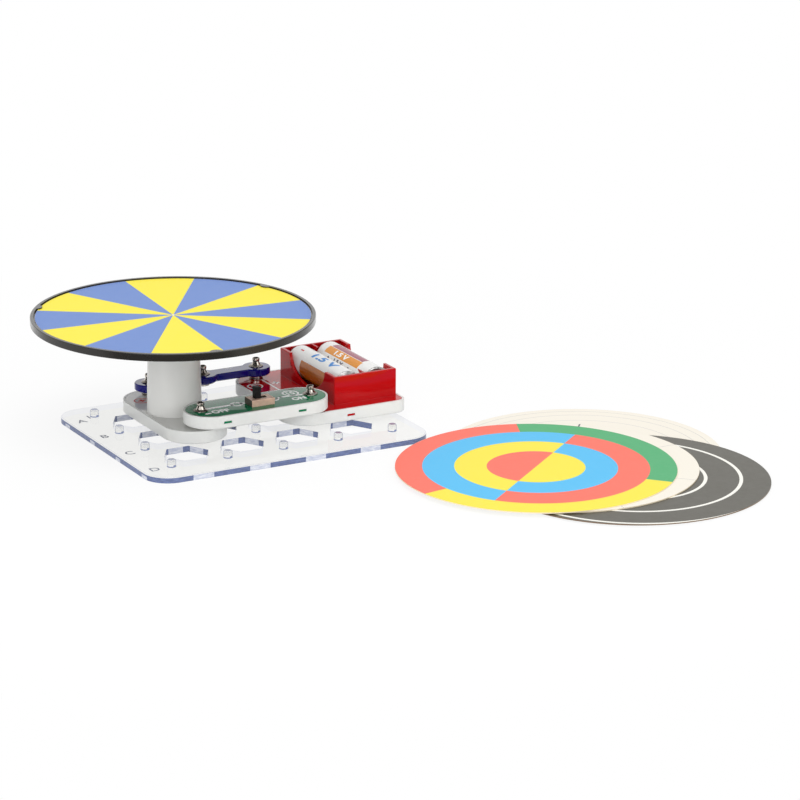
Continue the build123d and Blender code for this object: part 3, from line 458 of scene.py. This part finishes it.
def letters(words, height, stretch, bold):
    """Points and faces of a line of letters, centred on the origin in millimetres: the height is that
    of a capital, and bold is what each stroke gains in width."""
    capital_share = 0.7
    curve = bpy.data.curves.new("letters", "FONT")
    curve.body = words
    curve.size = height / capital_share
    curve.align_x, curve.align_y = "CENTER", "CENTER"
    curve.extrude = ink_depth / 2
    curve.offset = bold / 2
    curve.resolution_u = 4
    line = bpy.data.objects.new("letters", curve)
    points, faces = read(bpy.data.meshes.new_from_object(line))
    bpy.data.objects.remove(line)
    points[:, :2] -= (points[:, :2].min(0) + points[:, :2].max(0)) / 2
    return points * (stretch, 1.0, 1.0), faces


def printed(words, x, y, face, height, stretch=1.0, bold=0.45):
    """A line of letters printed on a level face, with its middle at (x, y)."""
    points, faces = letters(words, height, stretch, bold)
    return points + (x, y, face + print_lift), faces


def joined_mesh(name, parts):
    """One closed mesh of several (points, faces) parts, with doubled points joined."""
    merge = 0.001 * MM
    mesh = bpy.data.meshes.new(name)
    start, points, faces = 0, [], []
    for part_points, part_faces in parts:
        points += (np.asarray(part_points) * MM).tolist()
        faces += [[corner + start for corner in face] for face in np.asarray(part_faces, object).tolist()]
        start += len(part_points)
    mesh.from_pydata(points, [], faces)
    made = bmesh.new()
    made.from_mesh(mesh)
    bmesh.ops.remove_doubles(made, verts=made.verts, dist=merge)
    bmesh.ops.dissolve_degenerate(made, edges=made.edges, dist=merge / 2)
    bmesh.ops.recalc_face_normals(made, faces=made.faces)
    made.to_mesh(mesh)
    made.free()
    return bpy.data.objects.new(name, mesh)


def paler(colour, share):
    """Colour that is moved a share of the way to white."""
    return rgb(*[channel + (255 - channel) * share for channel in colour])


def ink(name, colour, gloss=0.45):
    """Printing ink with a faint speckle."""
    finish = Finish(name)
    speckle = finish.grain(0.6, 3.0)
    finish.lay(
        Base_Color=finish.mix(speckle, rgb(*colour), paler(colour, 0.12)),
        Roughness=gloss + speckle * 0.15,
    )
    return finish


stamped = ink("stamped_grey", (104, 110, 132))
letter_x, letter_height, letter_bold = -36.4, 4.4, 0.02
row_letters = {"A": 23.6, "B": -2.2, "C": -29.6, "D": -56.3}
base_marks = [
    printed(letter, letter_x, row, plate_top, letter_height, 1.1, letter_bold)
    for letter, row in row_letters.items()
]
base_marks.append(printed("1", -31.0, pitch, plate_top, letter_height, 1.0, letter_bold))
settle(joined_mesh("base_marks", base_marks), stamped, "stand", "navy_plastic", sharp=20)


# Module trays: open white boxes of polystyrene that take the sockets, the strips and the panel. Their
# walls are satin, with rubbed corners and the shallow marks of use.
def darker(colour, share):
    """Colour with a share of its brightness taken away."""
    return rgb(*[channel * (1 - share) for channel in colour])


def moulded(name, colour, gloss, shade=0.05, pale=0.25, **even):
    """Injection-moulded plastic: flow clouds, mould texture, fine rubs, and edges worn a little paler."""
    finish = Finish(name, **even)
    edge_radius = 0.3
    clouds = finish.grain(14.0, 3.0)
    rubs = finish.grain(1.2, 4.0, (6.0, 1.0, 1.0)) * finish.grain(5.0)
    body = finish.mix(clouds, darker(colour, shade), rgb(*colour))
    finish.lay(
        Base_Color=finish.mix(finish.edge(edge_radius) * clouds * 0.6, body, paler(colour, pale)),
        Roughness=gloss + finish.grain(3.0) * 0.04 + rubs * 0.12,
        Normal=finish.relief(finish.grain(2.4, 2.0), 0.004 + gloss * 0.02, edge_radius),
    )
    return finish


tray_white = moulded("tray_white", (234, 235, 232), 0.3, pale=0.6)
smoothed("motor_tray", tray_white, "stand", "pale_plastic")
for tray in ("switch_tray", "battery_tray"):
    smoothed(tray, tray_white, "stand", "white_plastic")


# Motor column: a pale grey hollow column, moulded in one with the panel that closes the motor tray. It
# tapers a little to the top. The panel is glossier, and a red ring with a plus sign is printed on it.
def ring_faces(rings, sides):
    """Four-cornered faces between rings of points, each ring closed on itself."""
    first = np.arange(rings - 1)[:, None] * sides
    around = np.arange(sides)
    after = (around + 1) % sides
    corners = (first + around, first + after, first + sides + after, first + sides + around)
    return np.stack(corners, axis=2).reshape(-1, 4)


def turned(profile, places, turns=40):
    """Points and faces of a surface of revolution: a profile of (radius, height) carried round a vertical
    axis in equal steps, once at each (x, y, z) place. A radius of 0 closes to a single point."""
    profile = np.asarray(profile, float)
    angle = np.arange(turns) * 2 * np.pi / turns
    ring = np.stack([
        np.outer(profile[:, 0], np.cos(angle)),
        np.outer(profile[:, 0], np.sin(angle)),
        np.repeat(profile[:, 1:], turns, axis=1),
    ], axis=2)
    places = np.asarray(places, float)
    points = (ring.reshape(1, -1, 3) + places[:, None, :]).reshape(-1, 3)
    count = len(profile) * turns
    quads = ring_faces(len(profile), turns)
    faces = (quads[None] + np.arange(len(places))[:, None, None] * count).reshape(-1, 4)
    return points, faces


def printed_ring(centre, radius, width, height):
    """Flat ring: a thin rectangle carried round a circle."""
    inner, outer = radius - width / 2, radius + width / 2
    profile = [(inner, 0.0), (outer, 0.0), (outer, ink_depth), (inner, ink_depth), (inner, 0.0)]
    return turned(profile, [(*centre, height)])


column_grey = moulded("column_grey", (226, 226, 223), 0.16, shade=0.03, pale=0.5)
smoothed("motor_housing", column_grey, "stand", "pale_plastic")
motor_face = 9.6
panel_gloss, column_gloss = 0.05, 0.19
on_column = column_grey.place()[2] > motor_face + 0.2
even_gloss = panel_gloss + (column_gloss - panel_gloss) * on_column
column_grey.lay(Roughness=even_gloss + column_grey.grain(3.0) * 0.03)
red_ink = ink("red_ink", (196, 36, 34))
plus_x, plus_y = -7.4, 20.0
motor_print = [
    printed_ring((plus_x, plus_y), 3.5, 0.55, motor_face),
    printed("+", plus_x, plus_y, motor_face, 4.4, 1.1, 0.5),
]
settle(joined_mesh("motor_print", motor_print), red_ink, "stand", "red_plastic")


# Motor inside the column: a drawn steel can with a white nylon cap, bronze bushes, ferrite magnets, a
# three-pole core wound with enamelled wire, and a ground shaft. The modules' strips are rolled brass.
def metal(name, colour, gloss, brush=0.12, wear=0.35, stretch=(1.0, 1.0, 1.0)):
    """Bare or plated metal: clouded tone, drawn or rolled lines, and dulled spots."""
    finish = Finish(name, Metallic=1.0)
    clouds = finish.grain(2.5, 4.0)
    lines = finish.grain(0.25, 3.0, stretch)
    finish.lay(
        Base_Color=finish.mix(finish.step(clouds, 0.35, 0.6), darker(colour, wear), rgb(*colour)),
        Roughness=gloss + finish.step(clouds, 0.6, 0.3) * brush + lines * 0.06,
        Normal=finish.relief(lines, 0.002, 0.08),
    )
    return finish


nickel = metal("nickel_plate", (226, 221, 214), 0.1, 0.08, 0.25)
can_steel = metal("drawn_steel", (190, 192, 194), 0.24, stretch=(1.0, 1.0, 20.0))
shaft_steel = metal("ground_steel", (206, 208, 210), 0.14, stretch=(20.0, 20.0, 1.0))
lamination = metal("lamination_steel", (128, 128, 132), 0.38, stretch=(20.0, 20.0, 1.0))
bronze = metal("sintered_bronze", (176, 128, 78), 0.45)
brass = metal("rolled_brass", (206, 172, 98), 0.25, stretch=(20.0, 1.0, 1.0))
commutator_copper = metal("turned_copper", (200, 120, 84), 0.22, stretch=(20.0, 20.0, 1.0))
enamel_wire = metal("enamelled_wire", (168, 74, 40), 0.3, stretch=(20.0, 20.0, 1.0))
nylon = moulded("white_nylon", (226, 224, 214), 0.4)
ferrite = moulded("pressed_ferrite", (58, 56, 58), 0.62, shade=0.2)
inner_finishes = {
    "motor_can": can_steel,
    "motor_end_cap": nylon,
    "motor_bushes": bronze,
    "motor_terminals": brass,
    "motor_magnets": ferrite,
    "motor_armature": lamination,
    "motor_windings": enamel_wire,
    "motor_commutator": commutator_copper,
    "motor_shaft": shaft_steel,
    "motor_strips": brass,
    "link_strip": brass,
    "switch_strips": brass,
    "battery_strips": brass,
}
for node, finish in inner_finishes.items():
    paint(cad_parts[node], finish)


# Snap fasteners: nickel-plated brass studs riveted through the panels, each with a round flange, a
# flared foot, a waist and a hollow head, and the sprung sockets under the modules that grip them.
def arc(centre, radius, start, end, steps):
    """Points of a circle's arc from one angle to another, in degrees."""
    angle = np.radians(np.linspace(start, end, steps + 1))
    return [(centre[0] + radius * np.cos(a), centre[1] + radius * np.sin(a)) for a in angle]


stud_profile = [
    (0, -1.0), (1.2, -1.0), (1.2, 0), (3.3, 0), *arc((3.3, 0.25), 0.2, -90, 80, 5),
    (3.0, 0.55), (2.5, 0.6), *arc((2.75, 1.25), 0.65, 265, 200, 5)[1:],
    (1.62, 2.05), (1.48, 2.35), *arc((1.1, 2.95), 0.67, -40, 0, 4), *arc((1.25, 3.6), 0.52, 0, 80, 5),
    (1.15, 4.1), (1.02, 3.95), (0.98, 2.9), (0, 2.85),
]
link_face, switch_face, battery_face = 15.6, 17.0, 9.6
snaps = {
    "motor": (motor_face, [(0.0, pitch), (0.0, -pitch)]),
    "link": (link_face, [(0.0, pitch), (pitch, pitch), (2 * pitch, pitch)]),
    "switch": (switch_face, [(0.0, -pitch), (2 * pitch, -pitch)]),
    "battery": (battery_face, [(2 * pitch, pitch), (2 * pitch, -pitch)]),
}
# Painted shade: the studs' upward faces are painted darker than their sides, for the dark they mirror, and
# their holes are painted dark.
stud_nickel = metal("stud_nickel", (200, 192, 183), 0.08, 0.08, 0.3)
upward_shade_share = stud_nickel.step(stud_nickel.facing("Z"), 0.45, 0.95)
painted_dark_tops = stud_nickel.mix(upward_shade_share, stud_nickel.tone(), rgb(118, 110, 102))
x, y = stud_nickel.place()[:2]
hole_reach = 1.12
hole_painted_shade = distance_of(from_nearest(x, pitch), from_nearest(y, pitch)) < hole_reach
stud_nickel.lay(Base_Color=stud_nickel.mix(hole_painted_shade, painted_dark_tops, rgb(44, 40, 36)))
for module, (face, places) in snaps.items():
    studs = turned(stud_profile, [(*place, face) for place in places])
    piece = joined_mesh(f"{module}_studs_turned", [studs])
    settle(piece, stud_nickel, "stand", "nickel", f"{module}_studs", sharp=40)


def socket_profile(mouth, top):
    """Sprung cup: a bore open at its mouth, a round top, and a brim pressed up under the module."""
    bore, cup, brim = 2.15, 3.2, 4.05
    return [
        (bore, mouth + 0.1), (bore, mouth + 3.6), (bore - 0.1, mouth + 3.7), (0, mouth + 3.7), (0, top),
        (cup - 0.2, top), (cup, top - 0.2), (cup, 0.0), (brim, 0.0), *arc((brim, -0.2), 0.15, 80, -80, 4),
        (cup + 0.1, -0.4), (cup, -0.5), (cup - 0.05, mouth + 0.05), (cup - 0.2, mouth),
        (bore + 0.1, mouth), (bore, mouth + 0.1),
    ]


# The height of each module's brims, and its cups' mouth and top measured from there.
sockets = {
    "motor": (3.6, -0.8, 3.3),
    "link": (11.9, -1.7, 2.4),
    "switch": (11.0, -0.8, 3.3),
    "battery": (3.6, -0.8, 3.3),
}
for module, (brim_height, mouth, top) in sockets.items():
    spots = [(*place, brim_height) for place in snaps[module][1]]
    piece = joined_mesh(f"{module}_sockets_turned", [turned(socket_profile(mouth, top), spots)])
    settle(piece, nickel, "stand", "nickel", f"{module}_sockets", sharp=40)


# Link bar: a bar of glossy navy plastic with three round pads, moulded in one, with the sockets and a
# strip let in from below and a stud riveted on each pad. A small pale mark stands on its top.
def glossy(name, colour, gloss, shade=0.06, pale=0.25, sheen=0.6, **even):
    """Polished moulded plastic: flow clouds, ripples, hair scratches, and a sheen seen from low down."""
    finish = Finish(name, **even)
    edge_radius = 0.25
    grazing = finish.node("ShaderNodeLayerWeight", {}, {"Blend": 0.5}, "Facing")
    clouds = finish.grain(16.0)
    scratches = finish.step(finish.grain(0.5, 2.0, (14.0, 1.0, 1.0)), 0.62, 0.75)
    body = finish.mix(clouds, darker(colour, shade), rgb(*colour))
    finish.lay(
        Base_Color=finish.mix(finish.edge(edge_radius) * clouds * 0.5, body, paler(colour, pale)),
        Roughness=gloss + finish.grain(6.0) * 0.03 + scratches * 0.08,
        Normal=finish.relief(finish.grain(7.0, 1.0), 0.012, edge_radius),
        Coat_Weight=finish.step(grazing, 0.55, 0.8) * sheen,
    )
    return finish


def patch(outline, height):
    """Points and faces of a patch of ink with this outline, on a level face."""
    outline = np.asarray(outline, float)
    count = len(outline)
    around = np.arange(count)
    low = np.column_stack((outline, np.full(count, height)))
    sides = np.column_stack((around, (around + 1) % count, (around + 1) % count + count, around + count))
    top = low + (0, 0, ink_depth)
    return np.vstack((low, top)), [around[::-1].tolist(), (around + count).tolist(), *sides.tolist()]


def stroke(start, end, width, height):
    """Printed line with round ends: a half circle about each end point, joined by two straight sides."""
    start, end = np.asarray(start, float), np.asarray(end, float)
    heading = np.degrees(np.arctan2(*(end - start)[::-1]))
    return patch([*arc(end, width / 2, heading - 90, heading + 90, 6),
                  *arc(start, width / 2, heading + 90, heading + 270, 6)], height)


white_ink = ink("white_ink", (252, 254, 252), 0.1)
navy = glossy("navy_plastic", (12, 12, 118), 0.03, sheen=0.9, IOR=1.35, Coat_IOR=1.9)
smoothed("link_bar", navy, "stand", "navy_plastic")
link_mark = [
    stroke((40.8, 30.2), (44.6, 30.2), 0.35, link_face),
    stroke((40.8, 31.4), (43.4, 31.4), 0.35, link_face),
]
settle(joined_mesh("link_mark", link_mark), white_ink, "stand", "white_plastic")


# Switch: a glossy green panel clipped into its tray, printed in white, with a small slide switch on it:
# a folded and plated frame over a tan board, brass contacts and a black knob. Moulded panels are never
# quite flat: this one shades as if it stood 0.66 mm lower along its long edges.
green = glossy("green_plastic", (0, 122, 78), 0.03, sheen=0.15, IOR=1.26)
crown_drop, panel_half_width = 0.66, 12.25
across = green.place((0.0, -pitch, 0.0))[1] / panel_half_width
crown = across * across * crown_drop
green.lay(Normal=green.relief(green.grain(7.0, 1.0) * 0.012 - crown, 1.0, 0.25))
smoothed("switch_panel", green, "stand", "green_plastic")
frame_plate = metal("frame_plate", (224, 188, 166), 0.36, 0.06, 0.08)
# Painted shade: the frame's two ends, facing along X, are painted dark.
end_painted_shade = frame_plate.mix(abs(frame_plate.facing("X")) > 0.7, frame_plate.tone(), rgb(84, 78, 68))
frame_plate.lay(Metallic=0.3, Base_Color=end_painted_shade)
tan_board = moulded("tan_board", (176, 126, 82), 0.6, shade=0.15)
knob_black = moulded("knob_black", (16, 14, 14), 0.4, shade=0.2, pale=0.1, IOR=1.3)
for node, finish in {
    "switch_frame": frame_plate,
    "switch_insulator": tan_board,
    "switch_pins": brass,
    "switch_bridge": brass,
    "switch_knob": knob_black,
}.items():
    paint(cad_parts[node], finish)
ring_x, ring_y = 48.3, -23.0
switch_print = [
    printed("OFF", 7.7, -32.8, switch_face, 3.8, 0.92),
    printed("ON", 48.2, -31.8, switch_face, 3.6, 0.85),
    printed("15", ring_x, ring_y, switch_face, 3.8, 0.85, 0.35),
    printed_ring((ring_x, ring_y), 3.6, 0.9, switch_face),
    printed_ring((18.7, -26.8), 2.4, 1.2, switch_face),
    stroke((3.7, -26.9), (16.6, -26.8), 1.9, switch_face),
    stroke((20.8, -26.8), (22.6, -27.0), 1.8, switch_face),
    printed_ring((37.6, -28.2), 1.6, 1.0, switch_face),
    stroke((38.8, -27.6), (41.5, -26.4), 1.4, switch_face),
    stroke((41.5, -26.4), (52.2, -27.2), 1.4, switch_face),
    stroke((0.2, -33.9), (2.2, -33.7), 1.3, switch_face),
]
settle(joined_mesh("switch_print", switch_print), white_ink, "stand", "white_plastic")


# Battery box: a glossy red panel and open box in one moulding, with plated contacts and a conical
# spring of round wire for each cell, and white printing on the panel.
red = glossy("red_plastic", (192, 6, 13), 0.05, IOR=1.27)
smoothed("battery_holder", red, "stand", "red_plastic")
paint(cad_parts["battery_contacts"], nickel)


def wire(path, radius, sides=12):
    """Round wire: a circle square to the path at each of its points, closed by a point at both ends."""
    path = np.asarray(path, float)
    ahead = np.gradient(path, axis=0)
    ahead /= np.linalg.norm(ahead, axis=1, keepdims=True)
    side = np.cross(ahead, (0.0, 1.0, 0.0))
    side /= np.linalg.norm(side, axis=1, keepdims=True)
    over = np.cross(side, ahead)
    centres, side, over = (np.vstack((part[:1], part, part[-1:])) for part in (path, side, over))
    reach = np.concatenate(([0.0], np.full(len(path), radius), [0.0]))[:, None, None]
    angle = np.arange(sides) * 2 * np.pi / sides
    across, along = np.cos(angle)[None, :, None], np.sin(angle)[None, :, None]
    spokes = across * side[:, None, :] + along * over[:, None, :]
    points = (centres[:, None, :] + reach * spokes).reshape(-1, 3)
    return points, ring_faces(len(centres), sides)


# Each cell's place along X, and the side of its nub: 1 is the back and -1 the front. The spring presses
# on the other end, and narrows from the box wall towards the cell.
cells = {"left_cell": (77.5, -1), "right_cell": (92.7, 1)}
cell_height = 16.8
wall_y, coil_depth, coil_turns, wire_radius = 25.7, 1.0, 2.5, 0.25
foot_radius, tip_radius = 4.2, 1.7
share = np.linspace(0.0, 1.0, 121)
swing = 2 * np.pi * coil_turns * share
coil_radius = foot_radius + (tip_radius - foot_radius) * share
coils = [
    wire(np.column_stack((
        cell_x + coil_radius * np.cos(swing),
        -nub_side * (wall_y - coil_depth * share),
        cell_height + coil_radius * np.sin(swing),
    )), wire_radius)
    for cell_x, nub_side in cells.values()
]
settle(joined_mesh("battery_coils", coils), nickel, "stand", "nickel", "battery_springs", sharp=60)
number_x, number_y = 49.5, 16.0
battery_print = [
    printed_ring((number_x, number_y), 3.5, 0.8, battery_face),
    printed("2", number_x, number_y, battery_face, 3.8, 1.0, 0.5),
    stroke((59.0, 16.4), (62.2, 16.4), 1.0, battery_face),
    stroke((60.6, 14.8), (60.6, 18.0), 1.0, battery_face),
    stroke((57.0, 24.0), (57.0, 5.0), 0.9, battery_face),
]
settle(joined_mesh("battery_print", battery_print), white_ink, "stand", "white_plastic")


# Cells: two steel cans in white shrink sleeves printed in orange, maroon and blue. The left one has its
# nub to the front and the right one to the back.
cell_radius, flat_end = 7.1, 24.35


def lying(part, x, side):
    """A part turned about the vertical axis, laid down with its top to the back (1) or the front (-1)."""
    points, faces = part
    return np.column_stack((x + points[:, 0], side * points[:, 2], cell_height + points[:, 1])), faces


def sliced(part, step):
    """The same surface cut at equal heights of y, so that it can be bent round a cell."""
    mesh = bpy.data.meshes.new("sliced")
    points, faces = part
    mesh.from_pydata(points.tolist(), [], faces)
    made = bmesh.new()
    made.from_mesh(mesh)
    for height in np.arange(points[:, 1].min() + step, points[:, 1].max(), step):
        everything = [*made.verts, *made.edges, *made.faces]
        bmesh.ops.bisect_plane(
            made, geom=everything, plane_co=(0, height, 0), plane_no=(0, 1, 0), dist=0.0001
        )
    made.to_mesh(mesh)
    made.free()
    return read(mesh)


def round_cell(part, x, middle_y, middle_angle):
    """Letters bent round a cell: they read to the front, and y goes down the cell's left side as angle."""
    points, faces = sliced(part, 0.4)
    angle = np.radians(middle_angle) - points[:, 1] / cell_radius
    reach = cell_radius + print_lift / 2 + points[:, 2]
    return np.column_stack((
        x + reach * np.cos(angle), middle_y - points[:, 0], cell_height + reach * np.sin(angle)
    )), faces


cell_steel = metal("cell_steel", (216, 216, 214), 0.3)
can_profile = [
    (0, 0.2), (4.4, 0.2), (4.7, 0.05), (6.2, 0.05), *arc((6.25, 0.6), 0.55, -90, 0, 5), (6.8, 47.6),
    *arc((6.4, 47.7), 0.4, 0, 90, 4), (5.6, 48.25), (5.2, 48.5), (3.1, 48.5), (2.75, 48.75),
    *arc((2.45, 49.55), 0.3, 0, 90, 4), (0, 49.9),
]
sleeve_profile = [
    (6.87, 0.6), (6.98, 0.52), *arc((6.8, 0.85), 0.3, -40, 0, 3), *arc((6.8, 47.35), 0.3, 0, 40, 3),
    (6.98, 47.68), (6.87, 47.6), (6.87, 0.6),
]
blue_ink, small_ink = ink("blue_ink", (46, 128, 206)), ink("dark_ink", (44, 48, 84))
# Printed bands of each sleeve: from one angle to another about its axis, back end, front end and colour.
sleeve_bands = {
    # The left cell's band is painted a darker orange than the right one's, as painted shade.
    "left_cell": [(146, 250, 11.0, -14.0, (184, 104, 16))],
    "right_cell": [
        (107, 141, 17.5, -15.0, (228, 146, 36)), (72, 105, 16.5, -14.0, (160, 84, 102)),
    ],
}
for cell, (cell_x, nub_side) in cells.items():
    body = turned(can_profile, [(0, 0, -flat_end)], 64)
    can = joined_mesh(cell + "_turned", [lying(body, cell_x, nub_side)])
    settle(can, cell_steel, cell, "nickel", cell + "_can", sharp=40)
    sleeve = Finish(cell + "_sleeve")
    x, y, z = sleeve.place((cell_x, 0.0, cell_height))
    angle = angle_of(x, z) % 360.0
    tone = rgb(240, 240, 238)
    for low, high, back, front, colour in sleeve_bands[cell]:
        here = (angle > low) & (angle < high) & (y < back) & (y > front)
        tone = sleeve.mix(here, tone, rgb(*colour))
    scuffs = sleeve.step(sleeve.grain(1.5, 4.0, (1.0, 4.0, 1.0)), 0.62, 0.8)
    sleeve.lay(
        Base_Color=sleeve.mix(scuffs * 0.3, tone, rgb(206, 206, 204)),
        Roughness=0.26 + scuffs * 0.2,
        Normal=sleeve.relief(sleeve.grain(4.0), 0.01),
    )
    body = turned(sleeve_profile, [(0, 0, -flat_end)], 96)
    shell = joined_mesh(cell + "_sleeve", [lying(body, cell_x, nub_side)])
    settle(shell, sleeve, cell, "cell_sleeve", cell + "_jacket", sharp=40)
# Words on each sleeve: text, height, stretch, boldness, place along the cell and angle about its axis.
cell_words = {
    "left_cell_words": ("left_cell", blue_ink, "navy_plastic", [("1.5 V", 3.9, 2.0, 0.45, -4.4, 99)]),
    "left_cell_minus": ("left_cell", red_ink, "red_plastic", [("-", 3.0, 2.0, 0.4, 17.0, 108)]),
    "right_cell_words": ("right_cell", white_ink, "white_plastic", [("1.5 V", 2.4, 1.8, 0.3, 3.0, 124)]),
    "right_cell_small": ("right_cell", small_ink, "navy_plastic", [
        ("+", 1.8, 1.2, 0.2, 12.0, 154),
        ("1.5 V", 1.7, 1.8, 0.2, 2.0, 154),
        ("-", 1.8, 1.6, 0.2, -8.0, 154),
    ]),
}
for name, (cell, finish, slot, lines) in cell_words.items():
    parts = [
        round_cell(letters(words, height, wide, bold), cells[cell][0], middle_y, middle_angle)
        for words, height, wide, bold, middle_y, middle_angle in lines
    ]
    settle(joined_mesh(name, parts), finish, cell, slot, sharp=20)


# Turntable: a shallow black dish on the shaft, with three small round tabs that hold the card down.
# Its hub is a collar pressed on the shaft. The lip's edges are painted paler: partly rubbed wear, partly a
# painted highlight.
rim_black = glossy("rim_black", (36, 33, 29), 0.26, shade=0.2, pale=0.12)
smoothed("turntable", rim_black, "rotor", "black_plastic")
smoothed("turntable_hub", knob_black, "rotor", "black_plastic")


# Mounted card: coated board printed with twelve equal sectors, yellow and blue in turn. The cut edge
# shows the cream core of the board.
card_reach = 63.2


def board(name, face, middle=(0.0, 0.0, 0.0), index=1.25, gloss=0.45, core=(236, 222, 196)):
    """Coated printing board: a print that is worked out from the radius and angle about the middle,
    faint mottle on its face, and a bare edge."""
    finish = Finish(name, IOR=index)
    x, y = finish.place(middle)[:2]
    radius, angle = distance_of(x, y), angle_of(x, y)
    mottle = finish.grain(2.0, 3.0)
    printed_face = finish.mix(mottle * 0.05, face(finish, radius, angle), rgb(210, 208, 200))
    finish.lay(
        Base_Color=finish.mix(radius > card_reach - 0.06, printed_face, rgb(*core)),
        Roughness=gloss + finish.grain(6.0) * 0.08,
        Normal=finish.relief(finish.grain(0.5, 3.0), 0.0015),
    )
    return finish


def sectors(finish, radius, angle):
    """Twelve equal sectors in two colours, with a pinhole of bare board in the middle."""
    sector_start, sector_width = 85.7, 30.0
    yellow_here = (sector_start - angle) / sector_width % 2 < 1
    face = finish.mix(yellow_here, rgb(113, 143, 206), rgb(252, 236, 68))
    return finish.mix(radius < 0.7, face, rgb(250, 250, 246))


smoothed("mounted_card", board("sector_card", sectors), "rotor", "sector_card")


# Spare cards: four more boards on the table beside the stand, from the bottom up one of thin rings, one
# black with a white spiral, one of thin rays and one of coloured rings.
cream = rgb(247, 241, 228)
coral, card_green = rgb(253, 118, 100), rgb(82, 176, 118)
card_blue, card_yellow = rgb(86, 193, 244), rgb(252, 234, 72)


def thin_rings(finish, radius, angle):
    """Cream face with three fine grey rings."""
    face = cream
    for share in (0.94, 0.85, 0.72):
        face = finish.mix(abs(radius - share * card_reach) < 0.14, face, rgb(200, 198, 196))
    return face


def spiral(finish, radius, angle):
    """Black face, painted as a warm dark grey that holds a painted sheen, with a white band whose radius
    grows by one step with each turn.
    """
    start, step, band_width = 0.737 * card_reach, 0.25 * card_reach, 1.6
    white_band = banded(radius - (angle + 90) / 360 * step, start, band_width, step)
    return finish.mix(white_band, rgb(60, 56, 40), rgb(250, 248, 240))


def thin_rays(finish, radius, angle):
    """Cream face with fine rays 48 degrees apart from a bare middle, one with a dark tick at its end."""
    first_ray, ray_spacing, bare_reach, tick_start = 1.8, 48.0, 20.0, 56.0
    ray_half_width, tick_half_width = 0.157, 0.384
    off_ray = abs(from_nearest(angle - first_ray, ray_spacing)) * (np.pi / 180) * radius
    face = finish.mix((off_ray < ray_half_width) & (radius > bare_reach), cream, rgb(196, 194, 192))
    tick = (off_ray < tick_half_width) & (radius > tick_start) & (abs(angle - 50.0) < 10.0)
    return finish.mix(tick, face, rgb(70, 78, 96))


def coloured_rings(finish, radius, angle):
    """Two inner rings and a middle split in halves, and an outer ring in three colours."""
    upper = banded(angle, start=38.7, width=180.0, spacing=360.0)
    outer = finish.mix(banded(angle, start=67.6, width=121.4, spacing=360.0), card_green, coral)
    outer = finish.mix(banded(angle, start=189.0, width=123.0, spacing=360.0), outer, card_yellow)
    face = finish.mix(upper, card_yellow, coral)
    face = finish.mix(radius > 0.35 * card_reach, face, finish.mix(upper, card_blue, card_yellow))
    face = finish.mix(radius > 0.58 * card_reach, face, finish.mix(upper, coral, card_blue))
    return finish.mix(radius > 0.807 * card_reach, face, outer)


spare_cards = {
    "rings": (thin_rings, "cream_card", {}),
    "spiral": (spiral, "black_card", {"index": 1.5, "gloss": 0.3, "core": (120, 96, 72)}),
    "radial": (thin_rays, "cream_card", {}),
    "colours": (coloured_rings, "colour_card", {}),
}
for kind, (face, slot, settings) in spare_cards.items():
    low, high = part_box(f"spare_card_{kind}")
    middle = [(low[axis] + high[axis]) / 2 / MM for axis in (0, 1)]
    finish = board(f"{kind}_board", face, (*middle, 0.0), **settings)
    smoothed(f"spare_card_{kind}", finish, f"{kind}_card", slot)
